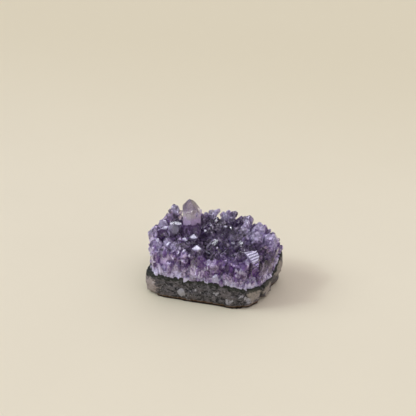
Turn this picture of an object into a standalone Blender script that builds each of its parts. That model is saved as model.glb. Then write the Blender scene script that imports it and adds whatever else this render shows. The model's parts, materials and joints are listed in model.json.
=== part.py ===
"""An amethyst cluster on its basalt matrix: a broken piece of a geode's wall, standing on the rock side.

Two pieces: the dark host rock, and the crust of intergrown quartz crystals that covers its upper side.
The origin is at the bottom centre of the whole, +X runs along the long front break and +Z points up.
Run it with: blender --background --python part.py
"""

import math
import random
from collections import namedtuple

import bmesh
import bpy
from mathutils import Matrix, Vector, noise

MM = 0.001

# ---------------------------------------------------------------- driving dimensions, in millimetres
# The plan of the piece where it is widest, anticlockwise from the front left corner. The front break runs from
# the second corner to the fifth, and the geode's outer skin shows only on the right and back right.
PLAN = [
    (-35.9, -21.6), (-29.5, -25.8), (-9.0, -26.6), (10.0, -27.0), (24.0, -25.8), (28.0, -21.8),
    (33.4, -15.0), (35.8, -5.0), (38.2, 3.0), (40.0, 10.5), (37.0, 17.5), (29.0, 22.5),
    (17.0, 26.0), (4.0, 27.0), (-10.0, 25.4), (-21.0, 26.6), (-32.0, 23.6), (-38.4, 13.0),
    (-40.0, 1.0), (-37.0, -11.0),
]
BED_HEIGHT = 15.6  # the rock's upper side, where the quartz begins
BED_DIP = 6.6  # how far that bed dips towards the right
LEFT_DIP = 1.8  # and towards the left end
SKIN_RISE = 12.0  # how far the geode's outer skin climbs the right side above the bed
SKIN_THICKNESS = 0.035  # as a share of the plan
UNDERCUT_HEIGHT = 1.6
BELLY_HEIGHT = 6.5
SEAM_GAP = 0.3  # between the rock and the crust
CUT_MARGIN = 1.0  # how far a solid reaches past the surface that trims it

RIM_TIP = 35.6  # the usual height of the points round the rim
VALLEY_DEPTH = 6.0  # how much lower the points are in the middle
CRUST_BELOW_TIPS = 6.2  # massive quartz fills up to here
ENVELOPE_TOP = 60.0

WALL_STEP = 5.0  # spacing of the columns that show in the broken sides
PYRAMID_SLOPE = math.radians(51.8)  # quartz: a rhombohedral face against the basal plane
SEED = 41

# The largest and best placed points: name, tip (x, y, z), radius, lean (towards x, towards y) in degrees, turn.
CHIEF_POINTS = [
    ("tall_clear", (-19.4, 19.0, 44.5), 6.3, (-2, 2), 16),
    ("big_dark", (-17.4, 8.0, 31.8), 6.6, (6, -22), 30),
    ("greenish", (-25.2, 5.0, 35.4), 4.8, (4, -8), 50),
    ("left_bright", (-30.0, 0.5, 34.2), 3.2, (2, 4), 8),
    ("mid_white", (-11.7, -2.0, 32.5), 2.9, (4, 6), 3),
    ("mid_left_small", (-16.2, -6.0, 32.0), 2.6, (1, 9), -3),
    ("white_cap", (-4.4, -20.4, 36.4), 4.3, (3, 5), 1),
    ("front_dome", (-14.7, -19.4, 36.3), 3.8, (-3, -7), 12),
    ("front_left", (-24.2, -19.2, 33.0), 4.6, (-6, -9), 38),
    ("front_corner", (-31.4, -16.5, 34.0), 4.2, (-9, -6), 5),
    ("left_rim_front", (-36.2, -6.0, 35.2), 3.4, (-8, -4), 12),
    ("left_rim", (-36.0, 2.0, 33.6), 3.8, (-9, 2), 33),
    ("left_rim_back", (-34.6, 9.0, 32.8), 3.6, (-10, 4), 0),
    ("left_back_low", (-34.4, 16.0, 32.9), 3.4, (-10, 8), 20),
    ("left_back", (-30.9, 21.5, 38.0), 3.6, (-6, 6), 35),
    ("back_left", (-9.7, 20.5, 35.4), 3.4, (4, 6), 22),
    ("back_leaning", (-6.4, 22.4, 37.0), 2.6, (18, 4), 5),
    ("back_mid", (3.0, 22.8, 38.0), 3.3, (-6, 5), 45),
    ("back_mid_right", (8.3, 22.4, 38.2), 2.3, (22, 4), 10),
    ("back_right", (16.5, 19.6, 38.0), 4.6, (8, 6), 14),
    ("right_back_rim", (24.6, 16.4, 36.2), 3.9, (8, 8), 50),
    ("grey_pair", (0.6, 15.2, 36.2), 4.6, (-4, -4), 33),
    ("grey_low", (-3.4, 9.6, 33.6), 4.2, (-10, -12), 8),
    ("valley_dark", (-2.2, 0.0, 29.6), 4.4, (10, -10), 44),
    ("valley_lying", (3.4, -1.4, 31.0), 2.4, (38, 16), 12),
    ("mid_right", (14.7, 6.0, 34.9), 5.0, (2, -10), 40),
    ("centre", (8.2, -2.0, 31.4), 4.4, (10, -12), 22),
    ("pale", (17.4, -5.0, 33.0), 3.8, (-4, -14), 9),
    ("front_dark", (12.2, -12.0, 32.4), 4.6, (4, -14), 52),
    ("front_mid", (5.6, -20.2, 32.0), 4.4, (4, -8), 12),
    ("front_right", (16.0, -20.6, 31.4), 4.4, (-4, -10), 35),
    ("striped", (25.4, -10.4, 36.0), 7.6, (3, 2), 4),
    ("brown_shoulder", (33.0, -2.6, 32.0), 6.2, (10, -8), 26),
    ("right_bright", (24.6, 7.6, 35.2), 4.6, (2, -4), 40),
    ("right_rim", (34.0, 9.4, 34.6), 4.4, (9, 4), 18),
    ("right_rim_low", (37.0, 3.6, 30.6), 3.6, (14, -2), 50),
]

Crystal = namedtuple("Crystal", "name tip radius lean turn length broken")


def smooth_step(low, high, value):
    """0 below low, 1 above high, and an even ramp between."""
    t = min(max((value - low) / (high - low), 0.0), 1.0)
    return t * t * (3 - 2 * t)


def facing(angle, middle, half_width):
    """1 where the angle points at the middle, in degrees, falling to 0 at the half width on both sides."""
    away = abs((math.degrees(angle) - middle + 180) % 360 - 180)
    return 1 - smooth_step(half_width * 0.35, half_width, away)


# ---------------------------------------------------------------- the plan
def plan_ring():
    """The plan with a point added in the middle of each side, which stands a little out or in."""
    ring = []
    for i, (x, y) in enumerate(PLAN):
        nx, ny = PLAN[(i + 1) % len(PLAN)]
        swell = 1.0 + 0.012 * math.sin(i * 2.4)
        ring += [Vector((x, y)), Vector(((x + nx) / 2, (y + ny) / 2)) * swell]
    return ring


RING = plan_ring()


def plan_point(angle):
    """The plan's edge in a direction from the centre."""
    way = Vector((math.cos(angle), math.sin(angle)))
    for a, b in zip(RING, RING[1:] + RING[:1]):
        side = b - a
        across = way.x * side.y - way.y * side.x
        if abs(across) < 1e-9:
            continue
        reach = (a.x * side.y - a.y * side.x) / across
        along = (a.x * way.y - a.y * way.x) / across
        if reach > 0 and -1e-6 <= along <= 1 + 1e-6:
            return way * reach
    raise ValueError("the plan isn't closed round its centre")


def share_of_plan(x, y):
    """0 at the centre and 1 on the plan's edge."""
    return Vector((x, y)).length / plan_point(math.atan2(y, x)).length


# ---------------------------------------------------------------- heights and sides
def bed_height(x, y):
    """The rock's upper side, without the skin that climbs its right edge."""
    wave = 0.4 * math.sin(x * 0.16 + 1.0) + 0.3 * math.cos(y * 0.2 + x * 0.05)
    left_dip = LEFT_DIP * smooth_step(24, 36, -x)
    return BED_HEIGHT + wave - left_dip - BED_DIP * smooth_step(8, 42, x + 0.25 * y)


def bed_with_skin(x, y):
    degrees = math.degrees(math.atan2(y, x))
    return bed_height(x, y) + SKIN_RISE * smooth_step(-2, 13, degrees) * (1 - smooth_step(32, 74, degrees))


def slab_share(angle):
    """The slab's side against the plan: flush in front, and set back where lumps stand out of it."""
    return 0.985 - 0.035 * facing(angle, -24, 26) - 0.03 * facing(angle, 90, 70) - 0.02 * facing(angle, 180, 24)


def foot_share(angle):
    """The flat foot: set back under the left end and under the bowl-shaped right end."""
    return slab_share(angle) - 0.03 - 0.09 * facing(angle, 192, 40) - 0.06 * facing(angle, 12, 60)


def undercut_share(angle):
    return slab_share(angle) - 0.01 - 0.015 * facing(angle, 192, 40) - 0.04 * facing(angle, 12, 60)


def belly_share(angle):
    return slab_share(angle) + 0.015 - 0.035 * facing(angle, 12, 60)


def crust_share(angle):
    """The crust's side against the plan: nearly flush with the rock, and set back at the front left corner."""
    return 0.975 - 0.05 * facing(angle, 210, 26)


def tip_height(x, y):
    """The usual height of a crystal's tip: high round the rim and lower in the middle."""
    hollow = math.exp(-(((x - 2) / 17) ** 2) - ((y + 1) / 12) ** 2)
    return RIM_TIP - VALLEY_DEPTH * hollow - 0.04 * abs(x)


# ---------------------------------------------------------------- mesh helpers
def new_object(name, bm, material=None, helper=False):
    """An object from a bmesh in millimetres."""
    bmesh.ops.scale(bm, vec=(MM, MM, MM), verts=bm.verts)
    mesh = bpy.data.meshes.new(name)
    bm.to_mesh(mesh)
    bm.free()
    obj = bpy.data.objects.new(name, mesh)
    bpy.context.scene.collection.objects.link(obj)
    if material:
        mesh.materials.append(material)
    if helper:
        obj.hide_render = True
        obj.display_type = "WIRE"
    return obj


def helpers_in(name, objects):
    """The helpers moved to a collection of their own."""
    group = bpy.data.collections.new(name)
    bpy.context.scene.collection.children.link(group)
    for obj in objects:
        bpy.context.scene.collection.objects.unlink(obj)
        group.objects.link(obj)
    return group


def boolean(body, operation, other):
    """An exact Boolean with one object or with a collection of them."""
    step = body.modifiers.new(f"{operation} {other.name}".lower(), "BOOLEAN")
    step.operation = operation
    if isinstance(other, bpy.types.Collection):
        step.operand_type = "COLLECTION"
        step.collection = other
    else:
        step.object = other


def level(share, height, roughness=0.0, seed=0.0):
    """One ring round the piece: the plan times share, each a number or a function of the direction, at a height
    that may depend on x and y, moved sideways by smooth noise."""
    points = []
    for p in RING:
        angle = math.atan2(p.y, p.x)
        reach = share(angle) if callable(share) else share
        x, y = p.x * reach, p.y * reach
        spot = Vector((x, y, 0)) * 0.13 + Vector((0, 0, seed * 7.3))
        shift = Vector((noise.noise(spot), noise.noise(spot + Vector((0, 0, 3.1))))) * roughness
        x, y = x + shift.x, y + shift.y
        points.append(Vector((x, y, height(x, y) if callable(height) else height)))
    return points


def lofted(rings, top, bottom):
    """A closed solid through rings of equal length, lowest first, with a middle point to close each end."""
    bm = bmesh.new()
    levels = [[bm.verts.new(p) for p in ring] for ring in rings]
    count = len(rings[0])
    for low, high in zip(levels, levels[1:]):
        for i in range(count):
            j = (i + 1) % count
            bm.faces.new((low[i], low[j], high[j], high[i]))
    top_vert = bm.verts.new(top)
    bottom_vert = bm.verts.new(bottom)
    for i in range(count):
        j = (i + 1) % count
        bm.faces.new((levels[-1][i], levels[-1][j], top_vert))
        bm.faces.new((levels[0][j], levels[0][i], bottom_vert))
    bmesh.ops.triangulate(bm, faces=bm.faces)
    bmesh.ops.recalc_face_normals(bm, faces=bm.faces)
    return bm


def cut_flat(bm, point, normal):
    """Cuts off what lies beyond a plane and closes the cut with one flat face."""
    everything = bm.verts[:] + bm.edges[:] + bm.faces[:]
    cut = bmesh.ops.bisect_plane(
        bm, geom=everything, plane_co=point, plane_no=normal, clear_outer=True, dist=1e-5
    )
    edges = [e for e in cut["geom_cut"] if isinstance(e, bmesh.types.BMEdge) and e.is_boundary]
    if edges:
        bmesh.ops.edgeloop_fill(bm, edges=edges)


def material(name, colour, roughness):
    made = bpy.data.materials.new(name)
    made.use_nodes = True
    shader = made.node_tree.nodes["Principled BSDF"]
    shader.inputs["Base Color"].default_value = (*colour, 1)
    shader.inputs["Roughness"].default_value = roughness
    made.diffuse_color = (*colour, 1)
    return made


# ---------------------------------------------------------------- the rock
# Chipped lumps that stand out of the slab's side: name, centre, half sizes, turn in degrees.
LUMPS = [
    ("front_right_block", (24.8, -18.4, 6.4), (6.4, 7.6, 6.0), -36),
    ("right_lobe", (33.2, -6.8, 7.4), (4.2, 6.6, 5.8), 12),
    ("right_skin_lobe", (36.6, 8.4, 13.4), (3.8, 6.6, 7.2), -10),
    ("back_right_lump", (28.4, 17.8, 8.6), (8.4, 6.0, 7.6), -32),
    ("back_lump", (10.6, 22.4, 7.0), (7.4, 5.0, 6.0), -6),
    ("back_left_lump", (-17.0, 22.0, 6.2), (10.0, 5.2, 5.6), 4),
    ("left_lump", (-35.0, 1.0, 8.4), (5.4, 8.6, 5.2), 5),
    ("left_back_lump", (-32.6, 15.0, 7.0), (6.0, 6.4, 6.4), 30),
]
# Chips knocked off the slab: name, centre, half sizes, turn in degrees.
CHIPS = [
    ("front_left_chip", (-38.0, -26.4, 7.0), (4.6, 6.4, 7.6), 36),
    ("crack", (35.2, -15.8, 6.0), (3.4, 1.3, 8.4), 38),
    ("front_chip", (-14.0, -31.6, 11.0), (8.5, 5.6, 3.4), 2),
    ("front_low_chip", (7.0, -31.8, 4.4), (10.0, 5.4, 2.8), -1),
    ("right_chip", (40.6, 2.6, 5.0), (3.4, 3.0, 4.0), 10),
    ("back_left_chip", (-29.6, 27.0, 10.0), (6.0, 4.4, 5.0), 32),
    ("back_chip", (-3.0, 28.6, 9.0), (5.0, 4.0, 4.0), -4),
]


def chipped_block(name, centre, half, turn, seed):
    """A boulder-like solid with flat chipped faces."""
    rng = random.Random(seed)
    bm = bmesh.new()
    bmesh.ops.create_cube(bm, size=2)
    for _ in range(9):
        way = Vector((rng.gauss(0, 1), rng.gauss(0, 1), rng.gauss(0, 1))).normalized()
        cut_flat(bm, way * rng.uniform(0.85, 1.15), way)
    bmesh.ops.dissolve_limit(bm, angle_limit=0.01, verts=bm.verts, edges=bm.edges)
    place = Matrix.Translation(centre) @ Matrix.Rotation(math.radians(turn), 4, "Z") @ Matrix.Diagonal((*half, 1))
    bmesh.ops.transform(bm, matrix=place, verts=bm.verts)
    return new_object(name, bm, helper=True)


def rock(stone):
    """The slab of basalt, with a flat foot, an undercut edge and the skin that climbs its right side."""

    def above_bed(x, y):
        return bed_with_skin(x, y) + CUT_MARGIN

    rings = [
        level(foot_share, -CUT_MARGIN, 1.6, 1.0),
        level(undercut_share, UNDERCUT_HEIGHT, 1.2, 2.0),
        level(belly_share, BELLY_HEIGHT, 1.0, 6.0),
        level(slab_share, lambda x, y: 0.74 * bed_with_skin(x, y), 1.0, 3.0),
        level(0.975, above_bed),
        level(0.6, above_bed),
    ]
    body = lofted(rings, (0, 0, above_bed(0, 0)), (0, 0, -CUT_MARGIN))
    slab = new_object("basalt_matrix", body, stone)
    lumps = [chipped_block(*shape, seed) for seed, shape in enumerate(LUMPS)]
    chips = [chipped_block(*shape, seed + 20) for seed, shape in enumerate(CHIPS)]
    boolean(slab, "UNION", helpers_in("lumps", lumps))
    boolean(slab, "DIFFERENCE", helpers_in("chips", chips))
    boolean(slab, "DIFFERENCE", crust_space("crust_space", 0.0))
    boolean(slab, "INTERSECT", envelope("rock_envelope", 1.0))
    return slab


def envelope(name, share):
    """The upright walls that nothing stands out of."""
    rings = [level(share, 0.0), level(share, ENVELOPE_TOP)]
    return new_object(name, lofted(rings, (0, 0, ENVELOPE_TOP), (0, 0, 0)), helper=True)


def crust_space(name, gap):
    """The space over the rock's upper side and inside its skin, kept clear of both by a gap."""
    inside_skin = 0.975 - SKIN_THICKNESS - gap * 0.03

    def raised(x, y):
        return bed_height(x, y) + gap

    def raised_skin(x, y):
        return bed_with_skin(x, y) + gap

    rings = [
        level(0.3, raised),
        level(0.62, raised),
        level(inside_skin - 0.055, raised),
        level(inside_skin, raised_skin),
        level(0.98, raised_skin),
        level(1.4, raised_skin),
        level(1.4, ENVELOPE_TOP),
    ]
    return new_object(name, lofted(rings, (0, 0, ENVELOPE_TOP), (0, 0, raised(0, 0))), helper=True)


# ---------------------------------------------------------------- the crystals
def crystal(radius, length, broken, rng):
    """A six-sided prism with a pointed end, tip at the origin and its root below. Three faces of the point are
    larger than the three between them, and no two sides stand equally far out, as in a grown crystal. A broken
    one ends in a slanting break instead."""
    bm = bmesh.new()
    bmesh.ops.create_cube(bm, size=2)
    bmesh.ops.scale(bm, vec=(radius * 1.6, radius * 1.6, length / 2), verts=bm.verts)
    bmesh.ops.translate(bm, vec=(0, 0, -length / 2), verts=bm.verts)
    for k in range(6):
        angle = math.radians(60 * k)
        side = Vector((math.cos(angle), math.sin(angle), 0))
        cut_flat(bm, side * radius * rng.uniform(0.76, 1.0), side)
    if broken:
        slant = Vector((rng.uniform(-0.8, 0.8), rng.uniform(-0.8, 0.8), 1)).normalized()
        cut_flat(bm, slant * -radius * 0.5, slant)
    else:
        for k in range(6):
            angle = math.radians(60 * k)
            across = math.sin(PYRAMID_SLOPE)
            face = Vector((math.cos(angle) * across, math.sin(angle) * across, math.cos(PYRAMID_SLOPE)))
            back = radius * (rng.uniform(0.0, 0.14) if k % 2 else -rng.uniform(0.04, 0.26))
            cut_flat(bm, face * back, face)
    bmesh.ops.dissolve_limit(bm, angle_limit=0.01, verts=bm.verts, edges=bm.edges)
    tip = max(v.co.z for v in bm.verts)
    bmesh.ops.translate(bm, vec=(0, 0, -tip), verts=bm.verts)
    return bm


def placed(bm, tip, lean, turn):
    """The crystal turned about its own axis, leant over, and moved to its tip."""
    axis = Vector((math.tan(math.radians(lean[0])), math.tan(math.radians(lean[1])), 1)).normalized()
    upright = Vector((0, 0, 1)).rotation_difference(axis).to_matrix().to_4x4()
    spin = Matrix.Rotation(math.radians(turn), 4, "Z")
    bmesh.ops.transform(bm, matrix=Matrix.Translation(tip) @ upright @ spin, verts=bm.verts)
    return bm


def outward(x, y, degrees):
    """A lean away from the middle that grows towards the edge."""
    share = share_of_plan(x, y)
    way = Vector((x, y)).normalized() if share > 0.01 else Vector((0, 0))
    return way * degrees * share**2


def crystal_list():
    """The chief crystals, then the rows in the broken sides, then the field between, each with room of its own."""
    rng = random.Random(SEED)
    found = []

    def room(x, y, radius, overlap):
        return all(
            math.hypot(x - c.tip[0], y - c.tip[1]) > (radius + c.radius) * overlap for c in found
        )

    def scatter(lean_spread):
        return Vector((rng.gauss(0, lean_spread), rng.gauss(0, lean_spread)))

    def add_row(share, step, sizes, drop, lean_out, broken):
        around = sum((a - b).length for a, b in zip(RING, RING[1:] + RING[:1]))
        count = int(around * share / step)
        for i in range(count):
            angle = 2 * math.pi * (i + rng.uniform(-0.25, 0.25)) / count
            x, y = plan_point(angle) * (share + rng.uniform(-0.02, 0.02))
            radius = rng.uniform(*sizes)
            top = tip_height(x, y) - rng.uniform(*drop)
            lean = outward(x, y, lean_out) + scatter(4)
            turn = rng.uniform(0, 60)
            snapped = rng.random() < broken
            if room(x, y, radius, 0.5):
                length = top - bed_height(x, y) + 3
                found.append(Crystal("row", (x, y, top), radius, lean, turn, length, snapped))

    for name, tip, radius, lean, turn in CHIEF_POINTS:
        length = tip[2] - bed_height(tip[0], tip[1]) + 2
        found.append(Crystal(name, tip, radius, lean, turn, length, False))
    add_row(0.89, WALL_STEP, (2.8, 4.2), (-0.4, 6.0), 3, 0.15)
    add_row(0.925, WALL_STEP * 0.8, (2.0, 3.4), (2.5, 15.0), 2, 0.5)
    for _ in range(1800):
        x, y = rng.uniform(-38, 38), rng.uniform(-25, 25)
        radius = rng.choice((2.2, 3.2, 4.2)) * rng.uniform(0.9, 1.15)
        if share_of_plan(x, y) > 0.86 or not room(x, y, radius, 0.72):
            continue
        top = tip_height(x, y) + rng.uniform(-4.0, 1.0) - (4.2 - radius) * 0.5
        lean = outward(x, y, 6) + scatter(11)
        length = CRUST_BELOW_TIPS + 8
        found.append(Crystal("field", (x, y, top), radius, lean, rng.uniform(0, 60), length, False))
    return found


def crust_body():
    """The massive quartz under the points."""

    def top(x, y):
        return tip_height(x, y) - CRUST_BELOW_TIPS

    def side(angle):
        return crust_share(angle) - 0.075

    def shoulder(angle):
        return crust_share(angle) - 0.14

    rings = [
        level(crust_share, 2.0),
        level(crust_share, lambda x, y: bed_with_skin(x, y) + 0.6, 0.6, 4.0),
        level(side, lambda x, y: 0.7 * bed_with_skin(x, y) + 0.3 * top(x, y), 1.6, 5.0),
        level(shoulder, top),
        level(0.6, top),
        level(0.3, top),
    ]
    return lofted(rings, (0, 0, top(0, 0)), (0, 0, 2.0))


def crust(quartz):
    """The massive quartz and its crystals as one solid, cut off at the bed and at the broken sides."""
    body = new_object("amethyst_crust", crust_body(), quartz)
    rng = random.Random(SEED + 1)
    points = []
    for i, c in enumerate(crystal_list()):
        bm = placed(crystal(c.radius, c.length, c.broken, rng), c.tip, c.lean, c.turn)
        points.append(new_object(f"{c.name}_{i}", bm, helper=True))
    boolean(body, "UNION", helpers_in("crystals", points))
    boolean(body, "INTERSECT", crust_space("crust_space_raised", SEAM_GAP))
    boolean(body, "INTERSECT", envelope("crust_envelope", 0.995))
    return body


def main():
    for obj in list(bpy.data.objects):
        bpy.data.objects.remove(obj, do_unlink=True)
    rock(material("basalt", (0.085, 0.082, 0.085), 0.85))
    crust(material("amethyst", (0.30, 0.19, 0.42), 0.15))


main()
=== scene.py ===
"""An amethyst cluster: see-through quartz points on massive quartz, on a slab of dark basalt.

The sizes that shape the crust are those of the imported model, so each point stands where its solid does.
Lengths are in millimetres up to the moment a mesh is made, which is in metres.
"""

import json
import math
import random
from collections import namedtuple
from functools import reduce

import bmesh
import bpy
from bpy.props import FloatProperty, FloatVectorProperty, IntProperty, PointerProperty
from mathutils import Matrix, Vector, geometry, noise

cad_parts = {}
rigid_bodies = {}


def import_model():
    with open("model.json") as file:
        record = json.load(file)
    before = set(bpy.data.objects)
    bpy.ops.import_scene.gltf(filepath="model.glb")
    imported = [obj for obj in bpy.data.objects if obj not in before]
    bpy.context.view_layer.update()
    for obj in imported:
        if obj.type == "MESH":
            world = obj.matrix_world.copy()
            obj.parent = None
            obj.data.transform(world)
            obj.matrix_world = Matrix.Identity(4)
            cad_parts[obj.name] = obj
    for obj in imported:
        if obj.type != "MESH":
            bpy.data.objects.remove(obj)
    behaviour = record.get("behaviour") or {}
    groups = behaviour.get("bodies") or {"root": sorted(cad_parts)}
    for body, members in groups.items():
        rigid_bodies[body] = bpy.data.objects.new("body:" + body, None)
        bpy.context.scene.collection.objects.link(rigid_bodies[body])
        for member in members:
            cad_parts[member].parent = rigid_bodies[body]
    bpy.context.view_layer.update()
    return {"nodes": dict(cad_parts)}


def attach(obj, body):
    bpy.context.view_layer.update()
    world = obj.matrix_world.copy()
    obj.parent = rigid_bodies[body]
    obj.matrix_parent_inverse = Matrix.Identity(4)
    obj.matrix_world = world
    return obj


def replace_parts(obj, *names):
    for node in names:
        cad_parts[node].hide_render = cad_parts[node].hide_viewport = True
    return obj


bl_info = {
    "name": "Amethyst Cluster",
    "version": (1, 0, 0),
    "blender": (4, 5, 0),
    "location": "View3D > Sidebar > Amethyst",
    "description": "Builds an amethyst cluster on its basalt matrix, and a plain studio round it",
    "category": "Add Mesh",
}

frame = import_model()
BODY = "root"
MM = 0.001

# ---------------------------------------------------------------- the model's own sizes, in millimetres
PLAN = [
    (-35.9, -21.6), (-29.5, -25.8), (-9.0, -26.6), (10.0, -27.0), (24.0, -25.8), (28.0, -21.8),
    (33.4, -15.0), (35.8, -5.0), (38.2, 3.0), (40.0, 10.5), (37.0, 17.5), (29.0, 22.5),
    (17.0, 26.0), (4.0, 27.0), (-10.0, 25.4), (-21.0, 26.6), (-32.0, 23.6), (-38.4, 13.0),
    (-40.0, 1.0), (-37.0, -11.0),
]
BED_HEIGHT = 15.6
BED_DIP = 6.6
LEFT_DIP = 1.8
SKIN_RISE = 12.0
RIM_TIP = 35.6
VALLEY_DEPTH = 6.0
CRUST_BELOW_TIPS = 6.2
WALL_STEP = 5.0
PYRAMID_SLOPE = math.radians(51.8)
SEED = 41
# The largest points: name, tip, radius, lean in degrees and turn about the axis.
CHIEF_POINTS = [
    ("tall_clear", (-19.4, 19.0, 44.5), 6.3, (-2, 2), 16),
    ("big_dark", (-17.4, 8.0, 31.8), 6.6, (6, -22), 30),
    ("greenish", (-25.2, 5.0, 35.4), 4.8, (4, -8), 50),
    ("left_bright", (-30.0, 0.5, 34.2), 3.2, (2, 4), 8),
    ("mid_white", (-11.7, -2.0, 32.5), 2.9, (4, 6), 3),
    ("mid_left_small", (-16.2, -6.0, 32.0), 2.6, (1, 9), -3),
    ("white_cap", (-4.4, -20.4, 36.4), 4.3, (3, 5), 1),
    ("front_dome", (-14.7, -19.4, 36.3), 3.8, (-3, -7), 12),
    ("front_left", (-24.2, -19.2, 33.0), 4.6, (-6, -9), 38),
    ("front_corner", (-31.4, -16.5, 34.0), 4.2, (-9, -6), 5),
    ("left_rim_front", (-36.2, -6.0, 35.2), 3.4, (-8, -4), 12),
    ("left_rim", (-36.0, 2.0, 33.6), 3.8, (-9, 2), 33),
    ("left_rim_back", (-34.6, 9.0, 32.8), 3.6, (-10, 4), 0),
    ("left_back_low", (-34.4, 16.0, 32.9), 3.4, (-10, 8), 20),
    ("left_back", (-30.9, 21.5, 38.0), 3.6, (-6, 6), 35),
    ("back_left", (-9.7, 20.5, 35.4), 3.4, (4, 6), 22),
    ("back_leaning", (-6.4, 22.4, 37.0), 2.6, (18, 4), 5),
    ("back_mid", (3.0, 22.8, 38.0), 3.3, (-6, 5), 45),
    ("back_mid_right", (8.3, 22.4, 38.2), 2.3, (22, 4), 10),
    ("back_right", (16.5, 19.6, 38.0), 4.6, (8, 6), 14),
    ("right_back_rim", (24.6, 16.4, 36.2), 3.9, (8, 8), 50),
    ("grey_pair", (0.6, 15.2, 36.2), 4.6, (-4, -4), 33),
    ("grey_low", (-3.4, 9.6, 33.6), 4.2, (-10, -12), 8),
    ("valley_dark", (-2.2, 0.0, 29.6), 4.4, (10, -10), 44),
    ("valley_lying", (3.4, -1.4, 31.0), 2.4, (38, 16), 12),
    ("mid_right", (14.7, 6.0, 34.9), 5.0, (2, -10), 40),
    ("centre", (8.2, -2.0, 31.4), 4.4, (10, -12), 22),
    ("pale", (17.4, -5.0, 33.0), 3.8, (-4, -14), 9),
    ("front_dark", (12.2, -12.0, 32.4), 4.6, (4, -14), 52),
    ("front_mid", (5.6, -20.2, 32.0), 4.4, (4, -8), 12),
    ("front_right", (16.0, -20.6, 31.4), 4.4, (-4, -10), 35),
    ("striped", (25.4, -10.4, 36.0), 7.6, (3, 2), 4),
    ("brown_shoulder", (33.0, -2.6, 32.0), 6.2, (10, -8), 26),
    ("right_bright", (24.6, 7.6, 35.2), 4.6, (2, -4), 40),
    ("right_rim", (34.0, 9.4, 34.6), 4.4, (9, 4), 18),
    ("right_rim_low", (36.2, 3.6, 30.6), 3.6, (9, -2), 50),
]
CLEAR = "tall_clear"
STRIPED = "striped"
# How pale and how smoky the chief points are; the others take theirs by lot.
FINISH = {
    "big_dark": (-0.8, 0.0), "greenish": (0.75, 0.75), "left_bright": (0.7, 0.2), "mid_white": (0.2, 0.2),
    "front_dome": (0.6, 0.5), "front_left": (0.6, 0.1), "front_corner": (0.7, 0.0), "white_cap": (0.5, 0.3),
    "left_rim_front": (0.8, 0.1), "left_rim": (0.7, 0.0), "left_rim_back": (0.6, 0.2), "left_back": (0.3, 0.6),
    "back_left": (0.4, 0.5), "back_leaning": (0.8, 0.6), "back_mid": (0.5, 0.5), "back_mid_right": (0.8, 0.6),
    "back_right": (0.4, 0.3), "grey_pair": (0.9, 0.7), "grey_low": (0.8, 0.6), "valley_dark": (-0.2, 0.3),
    "valley_lying": (0.8, 0.8), "mid_right": (0.8, 0.7), "centre": (0.5, 0.4), "pale": (0.7, 0.6),
    "front_dark": (0.05, 0.0), "front_mid": (0.3, 0.2), "front_right": (0.3, 0.0), "brown_shoulder": (0.15, 0.3),
    "right_bright": (0.9, 0.3), "right_back_rim": (0.8, 0.2), "right_rim": (0.8, 0.1), "right_rim_low": (0.6, 0.0),
}
# Chief points that grew as a sheaf of slim crystals: the share of the radius that the middle one keeps.
SLIMMER = {"left_back": 0.55, "back_left": 0.7, "back_leaning": 0.7, "back_mid": 0.65, "back_mid_right": 0.7,
           "back_right": 0.75}
# Slim points of the sheaves: tip, radius and lean.
SLIM_POINTS = [
    ((-30.4, 21.0, 38.2), 1.7, (-2, 0)), ((-33.2, 20.4, 35.0), 1.8, (-16, 4)), ((-27.6, 21.2, 36.2), 1.3, (24, 0)),
    ((-25.4, 21.4, 34.2), 1.2, (38, 4)), ((-29.0, 21.8, 36.6), 1.2, (12, 10)), ((-34.8, 19.6, 32.0), 1.6, (-22, 0)),
    ((-31.8, 22.2, 36.0), 1.1, (-24, 8)), ((-1.7, 21.5, 38.8), 1.3, (34, 0)), ((-3.4, 21.8, 37.8), 1.5, (22, 6)),
    ((-6.2, 21.2, 36.2), 1.7, (4, 2)), ((-8.4, 21.6, 34.8), 1.5, (-12, 4)), ((4.1, 21.5, 39.0), 1.5, (4, 0)),
    ((7.0, 21.5, 38.1), 1.2, (30, 4)), ((9.4, 21.8, 37.7), 1.1, (44, 0)), ((1.6, 21.2, 36.0), 1.5, (-16, 2)),
    ((5.6, 22.6, 36.6), 1.2, (-6, 14)), ((17.4, 18.5, 38.8), 1.9, (6, 0)), ((19.4, 18.6, 37.6), 1.5, (18, 4)),
    ((13.0, 18.8, 35.6), 1.7, (-18, 2)), ((15.2, 19.6, 37.2), 1.4, (-6, 8)),
    ((6.2, 19.0, 35.8), 1.7, (-8, -4)), ((8.2, 18.2, 35.2), 1.6, (14, 0)), ((9.8, 17.6, 34.0), 1.5, (22, -6)),
    ((11.4, 18.4, 34.6), 1.4, (4, 2)), ((4.6, 18.4, 34.2), 1.4, (-20, 0)),
    ((-9.6, 18.8, 37.0), 1.5, (2, 0)), ((-8.0, 19.2, 36.0), 1.1, (10, 0)),
]
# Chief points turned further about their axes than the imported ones, in degrees, and those that have no offshoots.
TURNED = {"white_cap": 26, "mid_white": 22, "mid_left_small": 24, "striped": 24, "left_bright": 20, "left_back_low": 22}
SMOOTH = ("brown_shoulder", "big_dark")
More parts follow.
